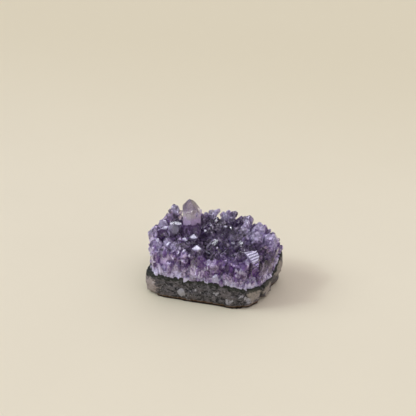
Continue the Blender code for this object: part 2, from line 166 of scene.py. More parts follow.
# Soft places where a colour is strongest: centre and radius.
DEEP_SPOTS = [
    ((-1.1, -25.5, 28.5), 7.0), ((10.9, -26.1, 27.0), 8.0), ((20.0, -22.0, 22.0), 6.0), ((-16.0, -24.0, 26.0), 5.0),
    ((-16.0, 6.0, 28.0), 11.0), ((-30.0, -5.0, 31.0), 5.0), ((-28.0, 14.0, 31.0), 6.0), ((2.0, 0.0, 28.0), 17.0),
    ((14.0, -8.0, 29.0), 9.0), ((34.0, -8.0, 24.5), 8.5), ((28.0, -17.0, 22.0), 6.5),
]
PALE_SPOTS = [
    ((-37.0, -8.0, 26.0), 18.0), ((-28.0, -22.0, 23.0), 19.0), ((-32.0, 6.0, 32.0), 9.0), ((24.0, 12.0, 33.0), 15.0),
    ((35.0, -11.0, 14.5), 5.0), ((36.0, 6.0, 29.0), 8.0), ((14.0, 25.0, 22.0), 14.0), ((-20.0, 25.0, 24.0), 12.0),
    ((4.0, 22.0, 37.0), 9.0), ((-30.0, 21.0, 35.0), 4.0), ((-7.0, 22.0, 36.0), 6.0), ((-20.0, -25.0, 24.0), 9.0),
]
# The brownish place on the right shoulder.
WARM_SPOT = ((32.6, -4.6, 32.4), 6.5)
# Places on the smooth shoulder point where no small crystals sit: centre and radius.
BARE_SPOTS = [((32.8, -7.0, 29.5), 3.6), ((34.3, 0.3, 29.3), 1.5)]
# White crystals against the rock: x, y, spread and number.
WHITE_CLUSTERS = [
    (8.4, -26.0, 1.3, 9), (13.6, -25.6, 1.5, 11), (28.0, -19.0, 2.2, 12), (-3.2, -25.6, 1.8, 8), (-20.0, -25.4, 2.4, 9),
    (-29.0, -24.0, 2.2, 9), (-36.4, -10.0, 2.2, 8), (-30.0, 23.0, 2.4, 9), (-4.0, 25.4, 2.6, 9), (22.0, 23.4, 2.2, 9),
    (37.2, 6.0, 1.6, 6),
]
# Flat ends that catch the light or stay dark: the finish (pale, smoke, frost), the length below, and the end's corners.
# On the ends that catch the light, high pale and frost paint a white highlight over the real glint: painted highlight.
FLAT_ENDS = [
    ((0.9, 0.2, 0.75), 8.0, [(-4.3, -20.8, 36.9), (-0.8, -23.5, 36.3), (-3.7, -23.4, 35.0), (-7.1, -22.1, 34.5)]),
    ((0.8, 0.3, 0.7), 6.0, [(-11.3, -2.6, 33.1), (-8.6, -5.3, 32.2), (-11.5, -5.0, 31.1), (-13.6, -3.6, 31.2)]),
    ((0.8, 0.3, 0.6), 6.0, [(-15.9, -7.0, 32.4), (-13.5, -8.9, 32.0), (-14.9, -9.0, 31.2), (-17.6, -7.5, 31.2)]),
    ((0.8, 0.2, 0.6), 6.0, [(-29.5, 0.2, 34.7), (-28.0, -1.1, 34.4), (-28.7, -1.9, 33.4), (-30.9, -0.9, 33.2)]),
    ((0.9, 0.1, 0.8), 6.0, [(-23.2, -14.5, 32.8), (-22.3, -15.1, 32.7), (-23.5, -16.8, 30.7), (-24.7, -15.8, 31.0)]),
    ((0.9, 0.5, 0.25), 7.0, [(-28.8, 5.3, 34.0), (-26.0, 5.2, 35.2), (-23.7, 4.7, 35.8), (-20.5, 3.2, 36.1),
                            (-20.7, 2.2, 35.2), (-24.1, 3.1, 34.4), (-27.7, 3.9, 33.4)]),
    ((0.6, 0.8, 0.0), 5.0, [(-0.6, -5.2, 28.2), (2.2, -3.0, 31.9), (4.4, -4.0, 31.9), (1.5, -6.8, 28.0)]),
    ((0.7, 0.7, 0.1), 5.0, [(16.8, -5.0, 32.8), (17.5, -4.3, 33.7), (19.0, -4.9, 33.9), (19.7, -5.9, 33.4),
                            (19.0, -6.6, 32.5), (17.5, -6.1, 32.3)]),
    ((0.6, 0.4, 0.5), 5.0, [(9.8, 4.1, 26.7), (12.9, 3.5, 27.6), (12.8, 2.8, 27.0), (10.2, 3.5, 26.4)]),
    ((-1.0, 0.0, 0.0), 7.0, [(-23.3, 5.9, 32.2), (-19.8, 6.4, 33.2), (-16.8, 6.0, 32.9), (-16.2, 0.4, 25.4),
                             (-20.0, -0.5, 23.9), (-23.8, -0.3, 23.9), (-24.5, 1.7, 26.5), (-23.8, 4.7, 30.5)]),
    ((-0.8, 0.0, 0.0), 7.0, [(-17.7, 6.1, 33.8), (-14.8, 6.6, 33.3), (-11.9, 7.7, 33.7), (-10.4, 6.6, 31.4),
                             (-10.5, 4.7, 28.7), (-14.6, 1.6, 26.0), (-17.5, 0.1, 25.0), (-17.5, 3.2, 29.5)]),
    ((-0.6, 0.2, 0.0), 5.0, [(-13.8, 5.6, 32.6), (-11.4, 7.6, 32.7), (-9.4, 7.2, 30.3), (-10.0, 4.8, 27.9),
                             (-12.3, 3.1, 28.0), (-13.8, 4.2, 30.8)]),
    ((0.9, 0.7, 0.35), 3.0, [(-27.9, 2.9, 33.9), (-21.4, 3.6, 34.3), (-22.1, 1.9, 31.6), (-22.9, 0.7, 29.7),
                             (-24.9, 0.2, 29.2), (-26.9, 0.9, 30.5)]),
    ((-0.8, 0.0, 0.0), 5.0, [(-34.0, -5.4, 32.8), (-30.6, -3.7, 34.3), (-27.4, -4.2, 33.5), (-26.6, -6.6, 30.9),
                             (-30.2, -7.6, 30.1), (-33.2, -7.2, 30.8)]),
    ((0.9, 0.0, 0.6), 5.0, [(-11.6, -23.5, 34.4), (-9.9, -24.2, 34.7), (-11.2, -24.9, 33.5), (-12.2, -24.6, 33.3)]),
    ((0.9, 0.0, 0.4), 5.0, [(-14.7, -23.5, 32.9), (-13.8, -23.8, 33.1), (-13.7, -25.3, 31.9), (-14.7, -25.1, 31.6)]),
    ((0.9, 0.1, 0.5), 6.0, [(-31.8, -14.4, 33.3), (-29.4, -14.7, 34.2), (-28.7, -16.8, 32.8), (-30.9, -16.5, 32.0)]),
    ((0.9, 0.0, 0.8), 6.0, [(13.0, 15.2, 31.9), (15.3, 14.9, 32.7), (17.0, 13.2, 32.1), (14.8, 13.3, 31.2)]),
    ((0.9, 0.0, 0.8), 6.0, [(16.8, 15.2, 31.1), (18.7, 15.0, 31.9), (18.9, 13.5, 30.7), (17.5, 13.6, 30.1)]),
    ((0.4, 0.5, 0.4), 5.0, [(-8.8, 9.6, 29.6), (-7.1, 9.3, 30.2), (-6.4, 8.0, 29.5), (-7.8, 8.1, 28.9)]),
    ((0.4, 0.5, 0.4), 5.0, [(-6.2, 14.9, 30.6), (-4.9, 14.8, 31.1), (-4.3, 13.7, 30.5), (-5.5, 13.8, 30.0)]),
    ((0.4, 0.5, 0.5), 5.0, [(2.2, 13.1, 32.3), (5.3, 12.3, 33.0), (5.3, 11.4, 32.3), (2.8, 12.1, 31.8)]),
    # Two small ends on the tall point's side: their frost paints two bright flecks of highlight.
    ((1.0, 0.2, 0.6), 1.0, [(-15.5, 15.7, 37.4), (-14.1, 15.5, 38.0), (-13.7, 13.7, 36.7), (-14.7, 13.7, 36.2)]),
    ((1.0, 0.2, 0.6), 1.0, [(-14.0, 20.5, 37.0), (-12.9, 20.3, 37.4), (-12.2, 18.1, 35.9), (-13.0, 18.2, 35.6)]),
    ((0.8, 0.4, 0.5), 2.0, [(-28.6, 18.8, 34.3), (-27.4, 18.9, 34.8), (-26.9, 17.7, 34.1), (-27.8, 17.6, 33.6)]),
]
# The corners of the striped point's end.
STRIPED_END = [
    (22.6, -14.0, 31.9), (29.6, -14.4, 34.8), (32.3, -17.7, 33.4), (32.2, -19.5, 31.9), (29.4, -20.4, 29.8),
    (26.7, -17.9, 30.7),
]
# Larger lumps of white quartz low on the broken sides: centre and size.
WHITE_LUMPS = [
    ((8.0, -25.6, 19.6), 2.3), ((9.6, -26.0, 17.6), 1.8), ((13.4, -25.0, 18.6), 2.3), ((15.2, -24.8, 17.2), 2.0),
    ((11.6, -25.4, 16.4), 1.6), ((27.6, -18.0, 15.8), 2.2), ((-6.0, -25.6, 17.4), 1.5), ((-22.0, -25.0, 17.0), 1.6),
    ((-36.6, -6.0, 18.0), 1.8), ((-20.0, 25.0, 18.0), 2.0), ((8.0, 25.4, 16.0), 2.2), ((30.0, 19.0, 18.0), 1.8),
]
# The rock's weathered patches and its pale inclusions: centre and radius.
WEATHERED = [
    ((-33.5, -24.5, 5.5), 8.5), ((-40.0, -8.0, 5.0), 9.0), ((30.0, -19.5, 7.0), 6.5), ((35.5, -8.0, 7.5), 7.0),
    ((38.0, 8.0, 12.0), 7.0), ((22.0, 24.0, 7.0), 8.0), ((-14.0, 26.0, 6.0), 9.0), ((-38.0, 14.0, 8.0), 7.0),
]
INCLUSIONS = [
    ((-12.5, -27.0, 6.1), 2.6), ((16.6, -27.2, 4.6), 2.0), ((9.2, -27.3, 8.9), 1.6), ((-30.0, -26.0, 9.0), 1.3),
    ((-20.0, -27.0, 9.8), 1.1), ((25.4, -24.0, 7.0), 1.5), ((27.6, -22.6, 4.5), 2.4), ((23.0, -25.4, 9.6), 1.4),
    ((-3.4, -27.0, 9.6), 1.0), ((40.0, 6.0, 9.0), 2.0), ((6.0, 26.5, 6.0), 2.4), ((-24.0, 26.5, 9.0), 2.0),
    ((-39.5, 2.0, 6.0), 1.8),
]

FIELD_TRIES = 1800
FIELD_LIMIT = 0.86
ROW_SHARE, LOW_ROW_SHARE = 0.89, 0.925
# How near the plan's edge an offshoot's tip and a white crystal's tip may stand, and how far a column may pass it.
OFFSHOOT_LIMIT = 0.95
WHITE_LIMIT = 0.945
COLUMN_ALLOWANCE = 0.012
BED_CLEARANCE = 0.1
# Metres from the floor's middle to its sides.
FLOOR_HALF = 3.0
# The soft room's lights: direction, the cosines where each is full and where it ends, its light, and its blend.
GLOWS = [
    ((0.15, -0.50, 0.85), 0.92, 0.66, (0.62, 0.62, 0.62), "MULTIPLY"),
    ((0.80, 0.15, 0.58), 0.90, 0.35, (0.36, 0.33, 0.38), "ADD"),
    ((-0.74, -0.17, 0.65), 0.985, 0.962, (5.5, 5.8, 6.2), "ADD"),
    ((-0.70, -0.22, 0.67), 0.96, 0.86, (0.5, 0.5, 0.55), "ADD"),
    ((-0.20, 0.95, 0.45), 0.97, 0.85, (0.5, 0.5, 0.5), "ADD"),
]

Crystal = namedtuple("Crystal", "name tip radius lean turn length broken")


def smooth_step(low, high, value):
    t = min(max((value - low) / (high - low), 0.0), 1.0)
    return t * t * (3 - 2 * t)


def facing(angle, middle, half_width):
    """1 where the angle points at the middle, in degrees, falling to 0 at the half width on both sides."""
    away = abs((math.degrees(angle) - middle + 180) % 360 - 180)
    return 1 - smooth_step(half_width * 0.35, half_width, away)


def neighbours(count):
    """Each number round a ring, with the next one."""
    return [(i, (i + 1) % count) for i in range(count)]


def plan_ring():
    """The plan with a point added in the middle of each side, which stands a little out or in."""
    ring = []
    for i, j in neighbours(len(PLAN)):
        (x, y), (nx, ny) = PLAN[i], PLAN[j]
        swell = 1.0 + 0.012 * math.sin(i * 2.4)
        ring += [Vector((x, y)), Vector(((x + nx) / 2, (y + ny) / 2)) * swell]
    return ring


RING = plan_ring()


def plan_point(angle):
    """The plan's edge in a direction from the centre."""
    way = Vector((math.cos(angle), math.sin(angle)))
    for a, b in zip(RING, RING[1:] + RING[:1]):
        side = b - a
        across = way.x * side.y - way.y * side.x
        if abs(across) < 1e-9:
            continue
        reach = (a.x * side.y - a.y * side.x) / across
        along = (a.x * way.y - a.y * way.x) / across
        if reach > 0 and -1e-6 <= along <= 1 + 1e-6:
            return way * reach
    raise ValueError("the plan isn't closed round its centre")


def share_of_plan(x, y):
    """0 at the centre and 1 on the plan's edge."""
    return Vector((x, y)).length / plan_point(math.atan2(y, x)).length


def bed_height(x, y):
    """The rock's upper side, without the skin that climbs its right edge."""
    wave = 0.4 * math.sin(x * 0.16 + 1.0) + 0.3 * math.cos(y * 0.2 + x * 0.05)
    left_dip = LEFT_DIP * smooth_step(24, 36, -x)
    return BED_HEIGHT + wave - left_dip - BED_DIP * smooth_step(8, 42, x + 0.25 * y)


def bed_with_skin(x, y):
    degrees = math.degrees(math.atan2(y, x))
    return bed_height(x, y) + SKIN_RISE * smooth_step(-2, 13, degrees) * (1 - smooth_step(32, 74, degrees))


def crust_share(angle):
    return 0.975 - 0.05 * facing(angle, 210, 26)


def tip_height(x, y):
    """The usual height of a crystal's tip: high round the rim and lower in the middle."""
    hollow = math.exp(-(((x - 2) / 17) ** 2) - ((y + 1) / 12) ** 2)
    return RIM_TIP - VALLEY_DEPTH * hollow - 0.04 * abs(x)


# ---------------------------------------------------------------- mesh helpers
def level(share, height, roughness=0.0, seed=0.0):
    """One ring round the piece: the plan times share, at a height, moved sideways by smooth noise."""
    points = []
    for p in RING:
        angle = math.atan2(p.y, p.x)
        reach = share(angle) if callable(share) else share
        x, y = p.x * reach, p.y * reach
        spot = Vector((x, y, 0)) * 0.13 + Vector((0, 0, seed * 7.3))
        shift = Vector((noise.noise(spot), noise.noise(spot + Vector((0, 0, 3.1))))) * roughness
        x, y = x + shift.x, y + shift.y
        points.append(Vector((x, y, height(x, y) if callable(height) else height)))
    return points


def lofted(rings, top, bottom):
    """A closed solid through rings of equal length, lowest first, with a middle point to close each end."""
    bm = bmesh.new()
    levels = [[bm.verts.new(p) for p in ring] for ring in rings]
    around = neighbours(len(rings[0]))
    for low, high in zip(levels, levels[1:]):
        for i, j in around:
            bm.faces.new((low[i], low[j], high[j], high[i]))
    top_vert = bm.verts.new(top)
    bottom_vert = bm.verts.new(bottom)
    for i, j in around:
        bm.faces.new((levels[-1][i], levels[-1][j], top_vert))
        bm.faces.new((levels[0][j], levels[0][i], bottom_vert))
    bmesh.ops.triangulate(bm, faces=bm.faces)
    bmesh.ops.recalc_face_normals(bm, faces=bm.faces)
    return bm


def object_from_bmesh(name, bm, unit=MM):
    """An object from a bmesh, which is in millimetres unless another unit is given."""
    bmesh.ops.scale(bm, vec=(unit,) * 3, verts=bm.verts)
    mesh = bpy.data.meshes.new(name)
    bm.to_mesh(mesh)
    bm.free()
    return link(name, mesh)


def link(name, data):
    obj = bpy.data.objects.new(name, data)
    bpy.context.scene.collection.objects.link(obj)
    return obj


def baked(obj):
    """The object with its modifiers applied, as a plain mesh in a new object; the old one goes."""
    name = obj.name
    graph = bpy.context.evaluated_depsgraph_get()
    mesh = bpy.data.meshes.new_from_object(obj.evaluated_get(graph), depsgraph=graph)
    bpy.data.objects.remove(obj, do_unlink=True)
    mesh.name = name
    return link(name, mesh)


def lifted(bm, rise):
    bmesh.ops.translate(bm, vec=(0, 0, rise), verts=bm.verts)
    return bm


def top_of(bm):
    return max(v.co.z for v in bm.verts)


def strayed(rng, *spreads):
    """A chance vector, with a spread for each axis."""
    return Vector([rng.gauss(0, spread) for spread in spreads])


def cut_flat(bm, point, normal):
    """Cuts off what lies beyond a plane and closes the cut with one flat face."""
    everything = bm.verts[:] + bm.edges[:] + bm.faces[:]
    cut = bmesh.ops.bisect_plane(bm, geom=everything, plane_co=point, plane_no=normal, clear_outer=True, dist=1e-5)
    edges = [e for e in cut["geom_cut"] if isinstance(e, bmesh.types.BMEdge) and e.is_boundary]
    if edges:
        bmesh.ops.edgeloop_fill(bm, edges=edges)


# ---------------------------------------------------------------- crystals
def crystal(radius, length, broken, rng):
    """A six-sided prism with a pointed end, tip at the origin and its root below."""
    bm = bmesh.new()
    bmesh.ops.create_cube(bm, size=2)
    bmesh.ops.scale(bm, vec=(radius * 1.6, radius * 1.6, length / 2), verts=bm.verts)
    lifted(bm, -length / 2)
    for k in range(6):
        angle = math.radians(60 * k)
        side = Vector((math.cos(angle), math.sin(angle), 0))
        cut_flat(bm, side * radius * rng.uniform(0.76, 1.0), side)
    if broken:
        slant = Vector((rng.uniform(-0.8, 0.8), rng.uniform(-0.8, 0.8), 1)).normalized()
        cut_flat(bm, slant * -radius * 0.5, slant)
    else:
        for k in range(6):
            angle = math.radians(60 * k)
            across = math.sin(PYRAMID_SLOPE)
            face = Vector((math.cos(angle) * across, math.sin(angle) * across, math.cos(PYRAMID_SLOPE)))
            back = radius * (rng.uniform(0.0, 0.14) if k % 2 else -rng.uniform(0.04, 0.26))
            cut_flat(bm, face * back, face)
    bmesh.ops.dissolve_limit(bm, angle_limit=0.01, verts=bm.verts, edges=bm.edges)
    return lifted(bm, -top_of(bm))


def stance(tip, lean, turn):
    """The matrix that turns a crystal about its own axis, leans it over and moves it to its tip."""
    axis = Vector((math.tan(math.radians(lean[0])), math.tan(math.radians(lean[1])), 1)).normalized()
    upright = Vector((0, 0, 1)).rotation_difference(axis).to_matrix().to_4x4()
    return Matrix.Translation(tip) @ upright @ Matrix.Rotation(math.radians(turn), 4, "Z")


def outward(x, y, degrees):
    """A lean away from the middle that grows towards the edge."""
    share = share_of_plan(x, y)
    way = Vector((x, y)).normalized() if share > 0.01 else Vector((0, 0))
    return way * degrees * share**2


def crystal_list():
    """The chief crystals, then the rows in the broken sides, then the field between, each with room of its own."""
    rng = random.Random(SEED)
    found = []

    def room(x, y, radius, overlap):
        return all(math.hypot(x - c.tip[0], y - c.tip[1]) > (radius + c.radius) * overlap for c in found)

    def add_row(share, step, sizes, drop, lean_out, broken):
        around = sum((a - b).length for a, b in zip(RING, RING[1:] + RING[:1]))
        count = int(around * share / step)
        for i in range(count):
            angle = 2 * math.pi * (i + rng.uniform(-0.25, 0.25)) / count
            x, y = plan_point(angle) * (share + rng.uniform(-0.02, 0.02))
            radius = rng.uniform(*sizes)
            top = tip_height(x, y) - rng.uniform(*drop)
            lean = outward(x, y, lean_out) + strayed(rng, 4, 4)
            turn = rng.uniform(0, 60)
            snapped = rng.random() < broken
            if room(x, y, radius, 0.5):
                length = top - bed_height(x, y) + 3
                found.append(Crystal("row", (x, y, top), radius, lean, turn, length, snapped))

    for name, tip, radius, lean, turn in CHIEF_POINTS:
        length = tip[2] - bed_height(tip[0], tip[1]) + 2
        found.append(Crystal(name, tip, radius, lean, turn, length, False))
    add_row(ROW_SHARE, WALL_STEP, (2.8, 4.2), (-0.4, 6.0), 3, 0.15)
    add_row(LOW_ROW_SHARE, WALL_STEP * 0.8, (2.0, 3.4), (2.5, 15.0), 2, 0.5)
    for _ in range(FIELD_TRIES):
        x, y = rng.uniform(-38, 38), rng.uniform(-25, 25)
        radius = rng.choice((2.2, 3.2, 4.2)) * rng.uniform(0.9, 1.15)
        if share_of_plan(x, y) > FIELD_LIMIT or not room(x, y, radius, 0.72):
            continue
        top = tip_height(x, y) + rng.uniform(-4.0, 1.0) - (4.2 - radius) * 0.5
        lean = outward(x, y, 6) + strayed(rng, 11, 11)
        length = CRUST_BELOW_TIPS + 8
        found.append(Crystal("field", (x, y, top), radius, lean, rng.uniform(0, 60), length, False))
    return found


class Pile:
    """Gathers crystals in one mesh. Each point keeps its place in its crystal's own axes, with the tip at the origin,
    in millimetres, and its crystal's finish: pale from -1, darkest, to 1, and smoke and frost from 0 to 1. On lit
    flat ends the frost, and part of the pale, is painted highlight."""

    def __init__(self):
        self.verts, self.faces, self.local = [], [], []
        self.marks = {"pale": [], "smoke": [], "frost": []}

    def add(self, bm, place, pale=0.0, smoke=0.0, frost=0.0, end=None):
        """Adds a crystal; with end, a direction, its frost, partly painted highlight there, keeps to the flat end that
        faces that way.
        """
        start = len(self.verts)
        bm.verts.index_update()
        for v in bm.verts:
            self.verts.append(place @ v.co * MM)
            self.local.extend(v.co)
            # Kept to a lit flat end, frost and paleness paint part of its highlight.
            at_end = end is None or abs(v.co.dot(end)) < 0.4
            self.marks["pale"].append(pale if at_end else pale * 0.5)
            self.marks["smoke"].append(smoke)
            self.marks["frost"].append(frost if at_end else frost * 0.1)
        self.faces += [[start + v.index for v in f.verts] for f in bm.faces]
        bm.free()

    def build(self, name, material):
        mesh = bpy.data.meshes.new(name)
        mesh.from_pydata(self.verts, [], self.faces)
        for key, values in self.marks.items():
            mesh.attributes.new(key, "FLOAT", "POINT").data.foreach_set("value", values)
        mesh.attributes.new("local", "FLOAT_VECTOR", "POINT").data.foreach_set("vector", self.local)
        mesh.materials.append(material)
        mesh.validate()
        return link(name, mesh)


def dressed(piece):
    """Marks how far each point of a finished piece lies above the rock's bed, in millimetres, and seats the piece."""
    above = [v.co.z / MM - bed_with_skin(v.co.x / MM, v.co.y / MM) for v in piece.data.vertices]
    piece.data.attributes.new("above", "FLOAT", "POINT").data.foreach_set("value", above)
    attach(piece, BODY)
    return piece


def bevelled(bm, width):
    """Narrow flats along the edges, which catch the light as worn or etched edges do."""
    bmesh.ops.bevel(bm, geom=bm.edges[:], offset=width, segments=1, profile=0.5, affect="EDGES", clamp_overlap=True)
    bmesh.ops.recalc_face_normals(bm, faces=bm.faces)
    return bm


# ---------------------------------------------------------------- node trees
class Field:
    """A node's output. Arithmetic on it adds nodes to its tree, and gives the field that comes out of them."""

    def __init__(self, node, output=0):
        self.tree = node.id_data
        self.socket = node.outputs[output]

    def maths(self, operation, other=0.0):
        return maths(self.tree, operation, self, other)

    def __add__(self, other):
        return self.maths("ADD", other)

    def __sub__(self, other):
        return self.maths("SUBTRACT", other)

    def __mul__(self, other):
        return self.maths("MULTIPLY", other)

    def __neg__(self):
        return self * -1.0

    def __rsub__(self, other):
        return maths(self.tree, "SUBTRACT", other, self)

    def __rtruediv__(self, other):
        return maths(self.tree, "DIVIDE", other, self)

    def clipped(self):
        """The value kept between 0 and 1."""
        return maths(self.tree, "ADD", self, 0.0, use_clamp=True)

    def ramp(self, low, high, to_low=0.0, to_high=1.0, shape="SMOOTHSTEP"):
        """The value from low to high, mapped to another range."""
        inputs = {"Value": self, "From Min": low, "From Max": high, "To Min": to_low, "To Max": to_high}
        return Field(put(self.tree, "ShaderNodeMapRange", inputs, interpolation_type=shape))

    def vector(self, operation, other):
        """A vector operation; a distance or a dot product comes out as a value."""
        node = put(self.tree, "ShaderNodeVectorMath", {0: self, 1: other}, operation=operation)
        return Field(node, "Value" if operation in ("DISTANCE", "DOT_PRODUCT") else "Vector")

    def scaled(self, factor):
        return Field(put(self.tree, "ShaderNodeVectorMath", {0: self, "Scale": factor}, operation="SCALE"))

    def stretched(self, scale):
        return Field(put(self.tree, "ShaderNodeMapping", {"Vector": self, "Scale": scale}))

    def axis(self, letter):
        return Field(put(self.tree, "ShaderNodeSeparateXYZ", {0: self}), letter)

    def noise(self, scale, detail=3.0, roughness=0.5, distortion=0.0, output="Fac"):
        inputs = {"Vector": self, "Scale": scale, "Detail": detail, "Roughness": roughness, "Distortion": distortion}
        return Field(put(self.tree, "ShaderNodeTexNoise", inputs), output)


def feed(socket, value):
    """Links a field, or a node's first output, to a socket, or sets the socket's own value."""
    if isinstance(value, bpy.types.Node):
        value = Field(value)
    if isinstance(value, Field):
        value.tree.links.new(value.socket, socket)
    else:
        socket.default_value = value


def put(tree, kind, inputs=None, **settings):
    """A new node with its settings and inputs."""
    node = tree.nodes.new(kind)
    for key, value in settings.items():
        setattr(node, key, value)
    for key, value in (inputs or {}).items():
        feed(node.inputs[key], value)
    return node


def maths(tree, operation, a, b, **settings):
    return Field(put(tree, "ShaderNodeMath", {0: a, 1: b}, operation=operation, **settings))


def mixed(share, a, b, blend="MIX"):
    """Colour a where the share is 0 and b where it is 1; each is a field or a plain colour."""
    a, b = (tone if isinstance(tone, Field) else (*tone, 1) for tone in (a, b))
    return Field(put(share.tree, "ShaderNodeMix", {0: share, 6: a, 7: b}, data_type="RGBA", blend_type=blend), 2)


def layered(body, *layers):
    """A colour with others laid on it in turn, each by its share."""
    for share, tone in layers:
        body = mixed(share, body, tone)
    return body


def bump(height, distance, strength=1.0, below=None):
    """The normal that a height gives, in millimetres, on top of another one."""
    inputs = {"Height": height, "Distance": distance * MM, "Strength": strength}
    return Field(put(height.tree, "ShaderNodeBump", inputs | ({"Normal": below} if below else {})))


def largest(values):
    return reduce(lambda a, b: a.maths("MAXIMUM", b), values)


# ---------------------------------------------------------------- finishes
QUARTZ_IOR = 1.55
# The tall point's end, middle band and root colours; the middle band is painted light, cream where light shining
# through would brighten it.
SMOKY_END, PAINTED_LIGHT_BAND, LILAC_ROOT = (0.38, 0.31, 0.39), (1.0, 0.95, 0.88), (0.88, 0.72, 0.95)
CLEAR_TINT = (0.84, 0.76, 0.88)
RUST = (0.58, 0.42, 0.50)
PALE_TAN, GREEN_TAN = (0.38, 0.34, 0.31), (0.33, 0.31, 0.25)


class Finish:
    """A new material, with fields for the places on its object."""

    def __init__(self, name):
        self.material = bpy.data.materials.new(name)
        self.material.use_nodes = True
        self.tree = self.material.node_tree
        self.where = self.place(1, 1, 1)

    def place(self, *scale):
        """The place on the object in millimetres, stretched by a scale for each axis."""
        return Field(put(self.tree, "ShaderNodeTexCoord"), "Object").stretched(tuple(s / MM for s in scale))

    def attribute(self, name, output="Fac"):
        return Field(put(self.tree, "ShaderNodeAttribute", attribute_name=name), output)

    def absorb(self, tint, density):
        volume = put(self.tree, "ShaderNodeVolumeAbsorption", {"Color": (*tint, 1), "Density": density})
        feed(self.tree.nodes["Material Output"].inputs["Volume"], volume)

    def wired(self, **values):
        """The material with its shader's sockets fed; an underscore in a key stands for a space."""
        for key, value in values.items():
            feed(self.tree.nodes["Principled BSDF"].inputs[key.replace("_", " ")], value)
        return self.material


def soft_spot(where, centre, radius, core=0.35):
    """1 inside a soft ball round a place, in millimetres, falling to 0 at its radius."""
    return where.vector("DISTANCE", centre).ramp(radius, radius * core)


def colour_zone(where, patchiness=0.5):
    """0 where the quartz is deep purple and 1 where it is palest: the named places, and patches between them."""
    zone = where.noise(0.16, 3.0, 0.62, 0.5).ramp(0.33, 0.69, 0.5 - patchiness, 0.5 + patchiness)
    pale, deep = (largest(soft_spot(where, c, r) for c, r in spots) for spots in (PALE_SPOTS, DEEP_SPOTS))
    return (zone + pale * 0.45 - deep * 0.6).clipped()


def growth(local):
    """How deep a point lies under its crystal's end faces, in millimetres: level bands of it are growth zones, which
    show as chevrons where a crystal is split."""
    sides = [math.radians(degrees) for degrees in (0, 60, 120)]
    reaches = [local.vector("DOT_PRODUCT", (math.cos(a), math.sin(a), 0.0)).maths("ABSOLUTE") for a in sides]
    return -local.axis("Z") - largest(reaches) * math.tan(PYRAMID_SLOPE)


def tilted_cells(at, scale):
    """Flat chance cells: a height that tilts each its own way, and a chance vector for each, from -0.5 to 0.5."""
    cells = put(at.tree, "ShaderNodeTexVoronoi", {"Vector": at, "Scale": scale, "Randomness": 1.0})
    chance = Field(cells, "Color").vector("SUBTRACT", (0.5, 0.5, 0.5))
    away = at.vector("SUBTRACT", Field(cells, "Position"))
    return away.vector("DOT_PRODUCT", chance), chance


def facets(where, size, stretch):
    """Cells of about a size in millimetres, longer upwards by stretch: a height that tilts each cell its own way, a
    tone for each cell from 0 to 1, and 1 on the borders between cells."""
    at = where.stretched((1 / size, 1 / size, 1 / (size * stretch)))
    at = at.vector("ADD", at.noise(0.8, 1.0, output="Color").scaled(0.9))
    height, chance = tilted_cells(at, 1.0)
    inputs = {"Vector": at, "Scale": 1.0, "Randomness": 1.0}
    borders = put(at.tree, "ShaderNodeTexVoronoi", inputs, feature="DISTANCE_TO_EDGE")
    return height, chance.axis("X") + 0.5, Field(borders, "Distance").ramp(0.05, 0.015)


def amethyst(colours):
    """Purple quartz: glassy at the tips, cloudy and paler towards the root, milky white on a few flat ends, partly
    frost and partly painted highlight where those ends catch the light.
    """
    finish = Finish("purple_quartz")
    pale, smoke, frost = (finish.attribute(key) for key in ("pale", "smoke", "frost"))
    local = finish.attribute("local", "Vector")
    zone = colour_zone(finish.where, 0.25)
    veils = finish.place(1.0, 1.0, 0.5).noise(0.5, 4.0, 0.65, 1.0)
    inky = pale.ramp(0.0, -1.0) * veils.ramp(0.68, 0.45, 0.45, 1.0)
    milk = zone.ramp(0.3, 0.85, 0.15, 0.8).maths("MAXIMUM", pale.ramp(0.3, 1.0, 0.0, 0.6))
    cloud = (growth(local) + veils.ramp(0.3, 0.7, 0.0, 5.0)).ramp(1.0, 8.0) * milk
    # Frost: milky white, partly painted highlight on the flat ends that catch the light, and raised a little in the
    # palest places.
    frost = frost.maths("MAXIMUM", zone.ramp(0.62, 1.0, 0.0, 0.5))
    share = ((pale + zone) * 0.5).clipped()
    body = layered(
        mixed(share, colours.deep, colours.lilac),
        (smoke, colours.smoky),
        (inky, mixed(veils.ramp(0.50, 0.66, 0.0, 0.5), colours.ink, colours.heart)),
        (soft_spot(finish.where, *WARM_SPOT) * 0.7, colours.warm),
        (cloud, mixed(share, colours.dusk, colours.lilac)),
        (frost, colours.milky_and_highlight),
    )
    clear = 1.0 - (cloud + veils.ramp(0.55, 0.68, 0.0, 0.5)) - inky * 0.45 - frost * 0.7
    steps = local.stretched((0.35, 0.35, 2.6)).noise(0.8, 3.0, 0.6)
    pits = local.noise(1.6, 4.0, 0.65)
    rough = (finish.where.noise(0.3, 2.0) + pits * 0.3).ramp(0.55, 0.9, 0.03, 0.2) + frost * 0.15
    finish.absorb(colours.tint, colours.density * 0.8)
    return finish.wired(Base_Color=body, Transmission_Weight=clear.clipped(), Roughness=rough, IOR=QUARTZ_IOR,
                        Normal=bump(pits, 0.02, 0.3, bump(steps, 0.06, 0.5)))


